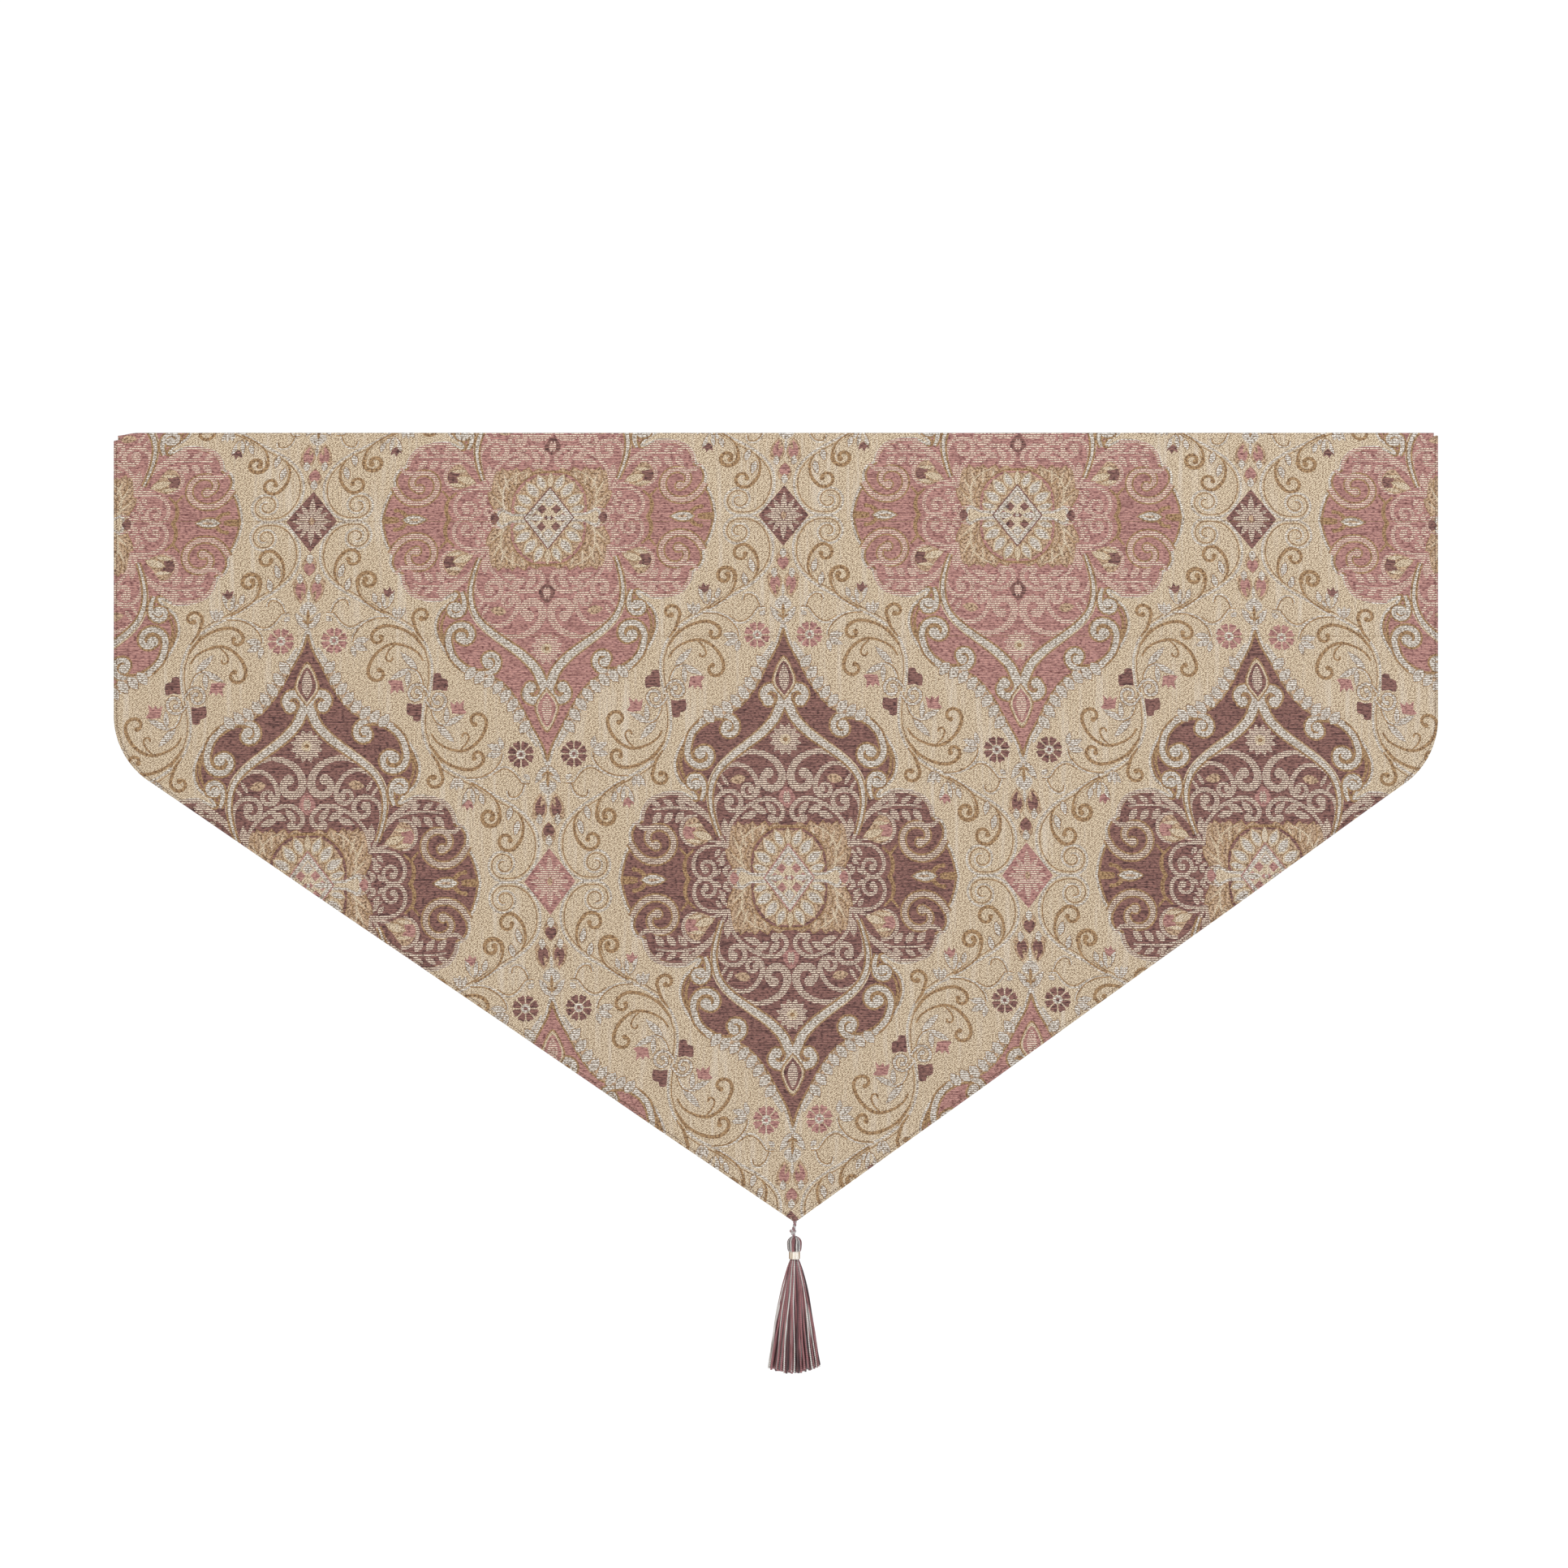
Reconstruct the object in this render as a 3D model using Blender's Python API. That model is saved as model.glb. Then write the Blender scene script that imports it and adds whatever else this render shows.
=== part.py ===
# Ascot valance: a pointed window valance of brocade cloth with a tassel at its tip.
# Metres, +Z up. The origin is the middle of the top edge, which is what holds the valance up.
# The face looks along -Y. The cloth's top is turned over to the back, towards +Y, and sewn down
# in two rows, which leaves a pocket for a rod between them.

import math

import bmesh
import bpy
from mathutils import Vector

# The cloth, cut as a band with a point below it
CLOTH_WIDTH = 1.295
SIDE_DEPTH_LEFT = 0.3175  # down to where the left side would meet the slope, before its corner is rounded
SIDE_DEPTH_RIGHT = 0.3197
TIP_X = 0.0185  # the point hangs a little to the right of the middle
TIP_DEPTH = 0.7725
CORNER_RADIUS = 0.078
CLOTH_THICKNESS = 0.0020
TOP_CORNER_DROP = 0.0032  # the top edge falls away at its left end
TOP_CORNER_LENGTH = 0.024
CORNER_COLUMNS = 6
SLOPE_COLUMNS = 18
CLOTH_ROWS = 20

# The heading: the cloth's top, turned over to the back and sewn down at two rows of stitching
STITCH_ROW_UPPER = 0.087
STITCH_ROW_LOWER = 0.199
HEADING_DEPTH = 0.208
HEADING_THICKNESS = 0.0014
HEADING_INSET = 0.004
HEADING_SINK = 0.0003  # how far the turned layer is pressed into the face layer where the two are flat
PART_GAP = 0.0003
POCKET_RISE = 0.0165
POCKET_RISE_CHANGE = 0.0012
POCKET_WAVES = 3.4
POCKET_FULLNESS = 2.5
HEADING_COLUMNS = 24
HEADING_ROWS = 22
HEADING_TOP = 0.0007

# Soft folds below the heading: how far each stands towards the viewer, or back where it is negative
FOLDS = (
    # middle x, half width, rise, depth at which it is full
    {"x": -0.585, "half": 0.070, "rise": -0.0022, "full": 0.330},
    {"x": -0.430, "half": 0.085, "rise": 0.0026, "full": 0.430},
    {"x": -0.265, "half": 0.070, "rise": -0.0018, "full": 0.480},
    {"x": -0.120, "half": 0.085, "rise": 0.0030, "full": 0.560},
    {"x": 0.045, "half": 0.080, "rise": -0.0016, "full": 0.620},
    {"x": 0.190, "half": 0.070, "rise": 0.0026, "full": 0.520},
    {"x": 0.320, "half": 0.060, "rise": -0.0020, "full": 0.460},
    {"x": 0.455, "half": 0.065, "rise": 0.0032, "full": 0.400},
    {"x": 0.580, "half": 0.060, "rise": -0.0024, "full": 0.330},
)

# The cord that carries the tassel, two plies twisted together with a knot in it
CORD_TOP_GAP = 0.0004
CORD_PLY_RADIUS = 0.00066
CORD_PLY_OFFSET = 0.00056
CORD_TURN_LENGTH = 0.0052
KNOT_RADIUS = 0.0027
KNOT_HALF_HEIGHT = 0.0026
CORD_SIDES = 16
CORD_STEPS = 26
CORD_ROUTE = (
    # x and z of the cord's middle line, below the tip and aside from it
    {"aside": 0.0002, "below": 0.0004},
    {"aside": -0.0003, "below": 0.0038},
    {"aside": -0.0011, "below": 0.0066},
    {"aside": -0.0018, "below": 0.0098},
    {"aside": -0.0008, "below": 0.0122},
)
KNOT_BELOW = 0.0096

# The tassel: a ribbed head, a neck under the wrapped collar, and the skirt of yarns
HEAD_X = 0.0182
HEAD_TOP = 0.7851
HEAD_RADIUS = 0.0071
HEAD_HEIGHT = 0.0146
NECK_RADIUS = 0.0046
NECK_END = 0.8088
HEAD_RIBS = 18
RIB_RISE = 0.00028
HEAD_STEPS = 72
COLLAR_RADIUS = 0.0056
COLLAR_GAP = 0.0003
COLLAR_END_ROUND = 0.0004
SKIRT_END = 0.9200
SKIRT_HALF_WIDTH = 0.0268
SKIRT_HALF_DEPTH = 0.0125
SKIRT_MIDDLE_X = 0.0183
SKIRT_SPREAD = 0.75
SKIRT_EDGE_LIFT = 0.0042
YARN_COUNT = 96
YARN_STEPS = 6
YARN_ROOT_RADIUS = 0.00024
YARN_END_RADIUS = 0.00105
YARN_ROOT_DEPTH = 0.0024
YARN_ROOT_SPREAD = 0.0041
GOLDEN_ANGLE = math.pi * (3 - math.sqrt(5))


def close_ends(bm):
    """Fills the open first ring that extruding leaves, and faces everything outward."""
    bmesh.ops.holes_fill(bm, edges=[edge for edge in bm.edges if edge.is_boundary])
    bmesh.ops.recalc_face_normals(bm, faces=bm.faces[:])


def smooth(t):
    """Eases from 0 to 1, flat at both ends."""
    t = min(1.0, max(0.0, t))
    return t * t * (3 - 2 * t)


def clear_scene():
    for obj in list(bpy.data.objects):
        bpy.data.objects.remove(obj, do_unlink=True)


def make_material(name, colour, roughness, metallic=0.0):
    material = bpy.data.materials.new(name)
    material.use_nodes = True
    shader = material.node_tree.nodes["Principled BSDF"]
    shader.inputs["Base Color"].default_value = (*colour, 1.0)
    shader.inputs["Roughness"].default_value = roughness
    shader.inputs["Metallic"].default_value = metallic
    return material


def add_object(name, bm, material):
    mesh = bpy.data.meshes.new(name)
    bm.to_mesh(mesh)
    bm.free()
    mesh.materials.append(material)
    mesh.shade_smooth()
    obj = bpy.data.objects.new(name, mesh)
    bpy.context.scene.collection.objects.link(obj)
    return obj


def add_thickness(obj, thickness):
    solidify = obj.modifiers.new("Thickness", "SOLIDIFY")
    solidify.thickness = thickness
    solidify.offset = 0.0
    solidify.use_even_offset = True
    return solidify


def join(target, addition, name):
    """Joins a hidden helper object into a part."""
    addition.hide_render = True
    addition.display_type = "WIRE"
    union = target.modifiers.new(name, "BOOLEAN")
    union.operation = "UNION"
    union.object = addition
    union.solver = "EXACT"


def slope_angle(side):
    """The slope's angle below the horizontal, on the left (-1) or the right (+1)."""
    corner_x = side * CLOTH_WIDTH / 2
    corner_depth = SIDE_DEPTH_LEFT if side < 0 else SIDE_DEPTH_RIGHT
    return math.atan2(TIP_DEPTH - corner_depth, abs(TIP_X - corner_x))


def corner_column(side, share):
    """x and depth on the rounded corner, from the side edge (share 0) to the slope (share 1)."""
    corner_depth = SIDE_DEPTH_LEFT if side < 0 else SIDE_DEPTH_RIGHT
    turn = math.pi / 2 - slope_angle(side)
    start_depth = corner_depth - CORNER_RADIUS * math.tan(turn / 2)
    angle = share * turn
    x = side * (CLOTH_WIDTH / 2 - CORNER_RADIUS * (1 - math.cos(angle)))
    return x, start_depth + CORNER_RADIUS * math.sin(angle)


def outline_columns():
    """x and depth of the lower edge, from the left side over the tip to the right side."""
    left = [corner_column(-1, i / CORNER_COLUMNS) for i in range(CORNER_COLUMNS + 1)]
    right = [corner_column(1, i / CORNER_COLUMNS) for i in range(CORNER_COLUMNS + 1)]
    tip = (TIP_X, TIP_DEPTH)
    columns = list(left)
    for start, end in ((left[-1], tip), (tip, right[-1])):
        for i in range(1, SLOPE_COLUMNS + 1):
            t = i / SLOPE_COLUMNS
            columns.append((start[0] + (end[0] - start[0]) * t, start[1] + (end[1] - start[1]) * t))
    return columns + right[-2::-1]


def top_drop(x):
    """How far the top edge falls at its left corner."""
    from_corner = (x + CLOTH_WIDTH / 2) / TOP_CORNER_LENGTH
    return TOP_CORNER_DROP * (1 - smooth(from_corner)) if from_corner < 1 else 0.0


def fold_offset(x, depth):
    """Where the cloth's middle surface lies along Y. It is flat as far as the lower row of stitching."""
    offset = 0.0
    for fold in FOLDS:
        across = abs(x - fold["x"]) / fold["half"]
        if across < 1:
            down = smooth((depth - STITCH_ROW_LOWER) / (fold["full"] - STITCH_ROW_LOWER))
            offset -= fold["rise"] * down * 0.5 * (1 + math.cos(math.pi * across))
    return offset


def make_face_layer(material):
    """The face of the cloth, as one thin sheet with a column of points at each x of the lower edge."""
    columns = outline_columns()
    bm = bmesh.new()
    bmesh.ops.create_grid(bm, x_segments=len(columns) - 1, y_segments=CLOTH_ROWS, size=1.0)
    for vert in bm.verts:
        column = round((vert.co.x + 1) / 2 * (len(columns) - 1))
        share = (1 - vert.co.y) / 2
        x, lower = columns[column]
        upper = top_drop(x)
        depth = upper + (lower - upper) * share
        vert.co = Vector((x, fold_offset(x, depth), -depth))
    face_layer = add_object("valance_cloth", bm, material)
    add_thickness(face_layer, CLOTH_THICKNESS)
    return face_layer


def heading_offset(x, depth):
    """How far the turned-over layer's middle surface lies behind the face layer's."""
    flat = CLOTH_THICKNESS / 2 - HEADING_SINK + HEADING_THICKNESS / 2
    t = (depth - STITCH_ROW_UPPER) / (STITCH_ROW_LOWER - STITCH_ROW_UPPER)
    if not 0 < t < 1:
        return flat
    wave = POCKET_RISE_CHANGE * math.sin(POCKET_WAVES * 2 * math.pi * x / CLOTH_WIDTH + 0.6)
    return flat + (POCKET_RISE + wave) * (1 - abs(2 * t - 1) ** POCKET_FULLNESS)


def heading_depths():
    """Depths of the heading's rows of points, closer together where the pocket leaves the stitching."""
    inside = HEADING_ROWS - 6
    pocket = [0.5 - 0.5 * math.cos(math.pi * i / inside) for i in range(inside + 1)]
    depth_of = STITCH_ROW_LOWER - STITCH_ROW_UPPER
    above = [HEADING_TOP + (STITCH_ROW_UPPER - HEADING_TOP) * t for t in (0.0, 0.4, 0.75)]
    below = [STITCH_ROW_LOWER + (HEADING_DEPTH - STITCH_ROW_LOWER) * t for t in (0.5, 1.0)]
    return above + [STITCH_ROW_UPPER + depth_of * t for t in pocket] + below


def make_turned_layer(material):
    """The turned-over top of the cloth, which stands off its face between the rows of stitching."""
    depths = heading_depths()
    left = -CLOTH_WIDTH / 2 + HEADING_INSET
    right = CLOTH_WIDTH / 2 - HEADING_INSET
    bm = bmesh.new()
    bmesh.ops.create_grid(bm, x_segments=HEADING_COLUMNS, y_segments=len(depths) - 1, size=1.0)
    for vert in bm.verts:
        row = round((1 - vert.co.y) / 2 * (len(depths) - 1))
        x = left + (right - left) * (vert.co.x + 1) / 2
        fall = top_drop(x) * max(0.0, 1 - depths[row] / STITCH_ROW_UPPER)
        vert.co = Vector((x, heading_offset(x, depths[row]), -depths[row] - fall))
    turned_layer = add_object("turned_layer_to_join", bm, material)
    add_thickness(turned_layer, HEADING_THICKNESS)
    return turned_layer


def make_cloth(material):
    """The whole cloth: its face with the turned-over heading joined to it."""
    cloth = make_face_layer(material)
    join(cloth, make_turned_layer(material), "Turned heading")
    return cloth


def route_point(t):
    """A point on a smooth curve through the cord's route, for t from 0 to 1."""
    points = [Vector((TIP_X + p["aside"], 0.0, -TIP_DEPTH - p["below"])) for p in CORD_ROUTE]
    points = [2 * points[0] - points[1], *points, 2 * points[-1] - points[-2]]
    along = t * (len(CORD_ROUTE) - 1)
    i = min(int(along), len(CORD_ROUTE) - 2)
    u = along - i
    a, b, c, d = points[i : i + 4]
    return 0.5 * (2 * b + (c - a) * u + (2 * a - 5 * b + 4 * c - d) * u**2 + (3 * b - a - 3 * c + d) * u**3)


def cord_radius(angle, below, twist):
    """The cord's radius in a direction: two plies side by side, or the knot's lumps."""
    plies = CORD_PLY_RADIUS + CORD_PLY_OFFSET * abs(math.cos(angle - twist))
    lump = 1 - ((below - KNOT_BELOW) / KNOT_HALF_HEIGHT) ** 2
    if lump <= 0:
        return plies
    ridges = 1 + 0.07 * math.cos(3 * angle + 900 * below)
    return max(plies, KNOT_RADIUS * math.sqrt(lump) * ridges)


def make_cord(material):
    """The twisted cord with its knot, as one body of rings drawn along the route."""
    bm = bmesh.new()
    ring = bmesh.ops.create_circle(bm, cap_ends=True, radius=CORD_PLY_RADIUS, segments=CORD_SIDES)["verts"]
    face = bm.faces[:][0]
    rings = [ring]
    for _ in range(CORD_STEPS):
        face = bmesh.ops.extrude_discrete_faces(bm, faces=[face])["faces"][0]
        rings.append(list(face.verts))
    place_cord_rings(rings)
    close_ends(bm)
    return add_object("tassel_cord", bm, material)


def place_cord_rings(rings):
    for step, ring in enumerate(rings):
        t = step / CORD_STEPS
        centre = route_point(t)
        below = -centre.z - TIP_DEPTH
        twist = 2 * math.pi * below / CORD_TURN_LENGTH
        for i, vert in enumerate(ring):
            angle = 2 * math.pi * i / CORD_SIDES
            radius = cord_radius(angle, below, twist)
            vert.co = centre + Vector((radius * math.cos(angle), radius * math.sin(angle), 0.0))


def head_profile():
    """Radius and depth down the head and its neck, from the top pole to the neck's end."""
    profile = [(0.0, HEAD_TOP)]
    for degrees in (18, 38, 58, 78, 98, 116):
        angle = math.radians(degrees)
        profile.append((HEAD_RADIUS * math.sin(angle), HEAD_TOP + HEAD_HEIGHT * 0.5 * (1 - math.cos(angle))))
    shoulder = HEAD_TOP + HEAD_HEIGHT
    profile += [(HEAD_RADIUS * 0.86, shoulder - 0.0016), (NECK_RADIUS + 0.0009, shoulder - 0.0002)]
    profile += [(NECK_RADIUS, shoulder + 0.0001), (NECK_RADIUS, NECK_END), (0.0, NECK_END)]
    return profile


def make_head():
    """The head and neck, turned from a profile and then ribbed where the yarns run over it."""
    bm = bmesh.new()
    verts = [bm.verts.new((radius, 0.0, -depth)) for radius, depth in head_profile()]
    edges = [bm.edges.new(pair) for pair in zip(verts, verts[1:])]
    bmesh.ops.spin(
        bm, geom=verts + edges, cent=(0, 0, 0), axis=(0, 0, 1), angle=2 * math.pi, steps=HEAD_STEPS, use_merge=True
    )
    bmesh.ops.remove_doubles(bm, verts=bm.verts[:], dist=1e-6)
    bmesh.ops.recalc_face_normals(bm, faces=bm.faces[:])
    for vert in bm.verts:
        radius = math.hypot(vert.co.x, vert.co.y)
        if radius > NECK_RADIUS + 0.0005 or (radius > 0.001 and -vert.co.z < HEAD_TOP + HEAD_HEIGHT / 2):
            angle = math.atan2(vert.co.y, vert.co.x)
            scale = 1 + RIB_RISE * math.cos(HEAD_RIBS * angle) / radius
            vert.co.x *= scale
            vert.co.y *= scale
    bmesh.ops.translate(bm, verts=bm.verts[:], vec=(HEAD_X, 0, 0))
    return bm


def yarn_place(index):
    """Where a yarn stands in the skirt, on a disc of radius 1, by the sunflower rule."""
    radius = math.sqrt((index + 0.5) / YARN_COUNT)
    angle = index * GOLDEN_ANGLE
    return radius * math.cos(angle), radius * math.sin(angle)


def yarn_point(index, share):
    """A yarn's middle line, from inside the neck (share 0) through the neck's end to the skirt's end."""
    across, deep = yarn_place(index)
    root = Vector((HEAD_X + YARN_ROOT_SPREAD * across, YARN_ROOT_SPREAD * deep, 0.0))
    end = Vector((SKIRT_MIDDLE_X + SKIRT_HALF_WIDTH * across, SKIRT_HALF_DEPTH * deep, 0.0))
    start_depth = NECK_END - YARN_ROOT_DEPTH
    uneven = 0.0011 * math.sin(index * 2.7)
    end_depth = SKIRT_END - SKIRT_EDGE_LIFT * across * across - abs(uneven)
    depth = start_depth + (end_depth - start_depth) * share
    fall = max(0.0, (depth - NECK_END) / (end_depth - NECK_END))
    point = root.lerp(end, fall**SKIRT_SPREAD)
    point.z = -depth
    return point, fall


def make_yarn(bm, index):
    """One four-sided yarn, a little thicker towards its end."""
    made = bmesh.ops.create_circle(bm, cap_ends=True, radius=YARN_ROOT_RADIUS, segments=4)
    face = made["verts"][0].link_faces[0]
    turn = index * 0.7
    for step in range(YARN_STEPS + 1):
        if step:
            face = bmesh.ops.extrude_discrete_faces(bm, faces=[face])["faces"][0]
        share = 0.0 if step == 0 else 0.024 + (1 - 0.024) * ((step - 1) / (YARN_STEPS - 1)) ** 1.15
        point, fall = yarn_point(index, share)
        radius = YARN_ROOT_RADIUS + (YARN_END_RADIUS - YARN_ROOT_RADIUS) * fall**0.6
        for i, vert in enumerate(face.verts):
            angle = turn + math.pi / 2 * i
            vert.co = point + Vector((radius * math.cos(angle), radius * math.sin(angle), 0.0))


def make_tassel(material):
    """The head with the skirt's yarns joined into its neck."""
    yarns = bmesh.new()
    for index in range(YARN_COUNT):
        make_yarn(yarns, index)
    close_ends(yarns)
    tassel = add_object("tassel", make_head(), material)
    join(tassel, add_object("yarns_to_join", yarns, material), "Yarns")
    return tassel


def make_collar(material):
    """The wrapped collar round the neck, a turned ring."""
    top = HEAD_TOP + HEAD_HEIGHT + PART_GAP + 0.0002
    bottom = NECK_END - 0.0002
    inner = NECK_RADIUS + COLLAR_GAP
    profile = [
        (inner, top),
        (COLLAR_RADIUS - COLLAR_END_ROUND, top),
        (COLLAR_RADIUS, top + COLLAR_END_ROUND),
        (COLLAR_RADIUS, bottom - COLLAR_END_ROUND),
        (COLLAR_RADIUS - COLLAR_END_ROUND, bottom),
        (inner, bottom),
    ]
    bm = bmesh.new()
    verts = [bm.verts.new((radius, 0.0, -depth)) for radius, depth in profile]
    edges = [bm.edges.new((verts[i], verts[(i + 1) % len(verts)])) for i in range(len(verts))]
    bmesh.ops.spin(
        bm, geom=verts + edges, cent=(0, 0, 0), axis=(0, 0, 1), angle=2 * math.pi, steps=24, use_merge=True
    )
    bmesh.ops.remove_doubles(bm, verts=bm.verts[:], dist=1e-6)
    bmesh.ops.recalc_face_normals(bm, faces=bm.faces[:])
    bmesh.ops.translate(bm, verts=bm.verts[:], vec=(HEAD_X, 0, 0))
    return add_object("tassel_collar", bm, material)


def main():
    clear_scene()
    brocade = make_material("brocade cloth, cream with rose", (0.58, 0.44, 0.31), 0.85)
    twisted = make_material("twisted rayon cord", (0.42, 0.30, 0.29), 0.6)
    yarn = make_material("rayon yarn, rose and grey", (0.32, 0.16, 0.17), 0.55)
    wrapped = make_material("satin thread wrapping", (0.68, 0.55, 0.40), 0.4)
    make_cloth(brocade)
    make_cord(twisted)
    make_tassel(yarn)
    make_collar(wrapped)


main()
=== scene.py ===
import math
import random
from collections import namedtuple

import bmesh
import bpy
import numpy as np
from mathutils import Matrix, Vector
from mathutils.geometry import delaunay_2d_cdt


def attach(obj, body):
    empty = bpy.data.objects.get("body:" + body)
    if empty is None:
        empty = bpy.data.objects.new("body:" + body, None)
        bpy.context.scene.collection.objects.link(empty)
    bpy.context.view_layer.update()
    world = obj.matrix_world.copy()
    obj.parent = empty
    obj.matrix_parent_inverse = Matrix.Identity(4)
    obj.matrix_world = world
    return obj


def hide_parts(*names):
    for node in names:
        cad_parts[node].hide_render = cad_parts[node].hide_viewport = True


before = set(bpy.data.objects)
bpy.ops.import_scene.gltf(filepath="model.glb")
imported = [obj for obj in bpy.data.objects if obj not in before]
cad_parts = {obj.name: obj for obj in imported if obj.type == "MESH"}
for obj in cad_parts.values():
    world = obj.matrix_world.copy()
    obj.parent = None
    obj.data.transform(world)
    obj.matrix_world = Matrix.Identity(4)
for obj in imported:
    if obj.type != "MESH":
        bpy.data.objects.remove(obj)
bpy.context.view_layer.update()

bl_info = {
    "name": "Ascot Valance",
    "version": (1, 0, 0),
    "blender": (4, 5, 0),
    "location": "View3D > Sidebar > Valance",
    "description": "Makes a pointed brocade valance with a rod pocket and a tassel",
    "category": "Object",
}

# Sizes, as in the part's source, in metres
CLOTH_WIDTH = 1.295
SIDE_DEPTHS = {-1: 0.3175, 1: 0.3197}
TIP_X, TIP_DEPTH = 0.0185, 0.7725
CORNER_RADIUS = 0.078
TOP_CORNER_DROP, TOP_CORNER_LENGTH = 0.0032, 0.024
STITCH_ROWS = (0.087, 0.199)
HEADING_DEPTH, HEADING_INSET = 0.208, 0.004
POCKET_RISE, POCKET_RISE_CHANGE, POCKET_WAVES, POCKET_FULLNESS = 0.0165, 0.0012, 3.4, 2.5
FOLDS = (
    # middle x, half width, rise towards the viewer, depth at which it is full
    (-0.585, 0.070, -0.0022, 0.330), (-0.430, 0.085, 0.0026, 0.430), (-0.265, 0.070, -0.0018, 0.480),
    (-0.120, 0.085, 0.0030, 0.560), (0.045, 0.080, -0.0016, 0.620), (0.190, 0.070, 0.0026, 0.520),
    (0.320, 0.060, -0.0020, 0.460), (0.455, 0.065, 0.0032, 0.400), (0.580, 0.060, -0.0024, 0.330),
)
# the sheet itself
SHEET_THICKNESS = 0.0015
FACE_Y = -0.00025  # the face layer's middle
FOLD_RADIUS = 0.0008  # of the middle surface where the cloth turns over at the top
FOLD_TOP = FOLD_RADIUS + SHEET_THICKNESS / 2  # depth at which the face layer leaves the fold
FOLD_LENGTH = math.pi * FOLD_RADIUS
HEADING_END = FOLD_TOP - FOLD_LENGTH - (HEADING_DEPTH - FOLD_TOP)  # the turned end, as a depth past the fold
RIM_ROUND = 0.0003
SEAM_PINCH, SEAM_WIDTH = 0.45, 0.0032
GUIDE_SPACING = 0.004  # from a row of stitching to the rows of points beside it
INNER_REACH, INNER_SPACING, INNER_HEADING_SPACING, INNER_MARGIN = 0.64, 0.026, 0.008, 0.004
# the bake's map: the outer surface takes three quarters of its height, and the plain inner one the rest
BAKE_MARGIN, BAKE_OUTER, BAKE_INNER = 0.002, (0.002, 0.748), (0.752, 0.998)

# the tassel and its cord
CORD_ROUTE = ((0.0002, -0.0006), (-0.0003, 0.0034), (-0.0011, 0.0066), (-0.0018, 0.0098), (-0.0008, 0.0134))
CORD_PLY_RADIUS, CORD_PLY_OFFSET, CORD_TURN = 0.00100, 0.00088, 0.0058
KNOT_BELOW, KNOT_ASIDE, KNOT_RADIUS, KNOT_PLY_RADIUS = 0.0096, 0.0018, 0.0032, 0.00085
KNOT_PLY_SHIFT, KNOT_DEPTH_SHARE = 0.00045, 0.75 * 1.6
HEAD_X, HEAD_TOP, HEAD_RADIUS = 0.0182, 0.7851, 0.0071
NECK_RADIUS, NECK_END = 0.0046, 0.8088
CORE_GAP = 0.0011  # from the head's surface in to the stuffing under its yarns
COLLAR_TOP, COLLAR_END, COLLAR_RADIUS = 0.8000, 0.8086, 0.0056
SKIRT_X, SKIRT_END, SKIRT_HALF_WIDTH, SKIRT_HALF_DEPTH = 0.0183, 0.9200, 0.0268, 0.0125
SKIRT_SPREAD, SKIRT_EDGE_LIFT, SKIRT_EDGE_SLOPE, SKIRT_ROOT_RADIUS = 0.75, 0.0042, 0.0022, 0.0040
# a yarn's radius inside the neck, and a silver yarn's thickness against a rose one's
THIN_YARN_RADIUS, SILVER_SHARE = 0.00028, 0.66
GOLDEN_ANGLE = math.pi * (3 - math.sqrt(5))
# which yarn runs over the head at each rib, from its left side round the front and on round the back
HEAD_YARNS = "rbsgsrrbsgsrrbrsrbrrsbrsbr"
# which yarns lie side by side round the skirt
SKIRT_ORDER, SKIRT_SURFACE = "rsrbrsrrgsrrsbrrs", 0.75
# b is the darkest yarn, whose colour is painted shade among the others
YARN_KINDS = {"r": 0, "s": 1, "g": 2, "b": 3}

# stitches, each (share of its length, height over the face) along its way
SEAM_STITCH = ((0.0, -0.0002), (0.15, 0.00012), (0.85, 0.00012), (1.0, -0.0002))
HEM_STITCH = ((0.0, -0.0002), (0.5, 0.0001), (1.0, -0.0002))
SEAM_THREAD_RADIUS, SEAM_END_MARGIN = 0.00022, 0.003
HEM_THREAD_RADIUS, HEM_INSET, HEM_END_MARGIN = 0.00042, 0.0023, 0.004
HEM_STITCH_LENGTH, HEM_STITCH_SLANT = 0.0013, 0.0006
COLLAR_THREAD_RADIUS, COLLAR_TURNS = 0.00031, 15

# The weave's repeat, charted in millimetres
HALF_REPEAT = (230.0, 352.0)
# how the repeat lies on the hung cloth: across (mm from the middle) and down (mm below the top edge), as
# polynomials of the repeats counted across, u, and down, v. The factors are a least-squares fit, made in
# a scratch script, to spots of the photograph that look alike, and are rounded to 0.1 mm
LIE_POWERS = ((0, 0), (0, 1), (0, 2), (0, 3), (1, 0), (1, 1), (1, 2), (2, 0), (2, 1), (3, 0))
LIE_ACROSS = (-222.1, -25.4, 82.7, -55.9, 461.1, 25.9, -16.7, -4.6, 0.6, 1.7)
LIE_DOWN = (83.4, 662.6, 154.6, -113.2, -6.7, 0.6, -7.9, 2.4, -3.5, 1.7)
LIE_FIRST = -0.125  # above this v the repeat runs on evenly, over the top and down the back
QUARTERS_ACROSS, QUARTERS_DOWN = range(-3, 5), range(-2, 3)
# the cloth is drawn down by this many mm as v goes from the first to the second
TIP_STRETCH, TIP_STRETCH_FROM, TIP_STRETCH_TO = 9.0, 0.8, 0.89

Scroll = namedtuple("Scroll", "thread way curl wide eye edge")
Stem = namedtuple("Stem", "way curl wide side")
Leaf = namedtuple("Leaf", "thread x y to_x to_y wide edge")
Patch = namedtuple("Patch", "thread corners grow")
Bloom = namedtuple("Bloom", "thread x y reach petals wide start inner blunt")
Disc = namedtuple("Disc", "thread x y across down")
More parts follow.
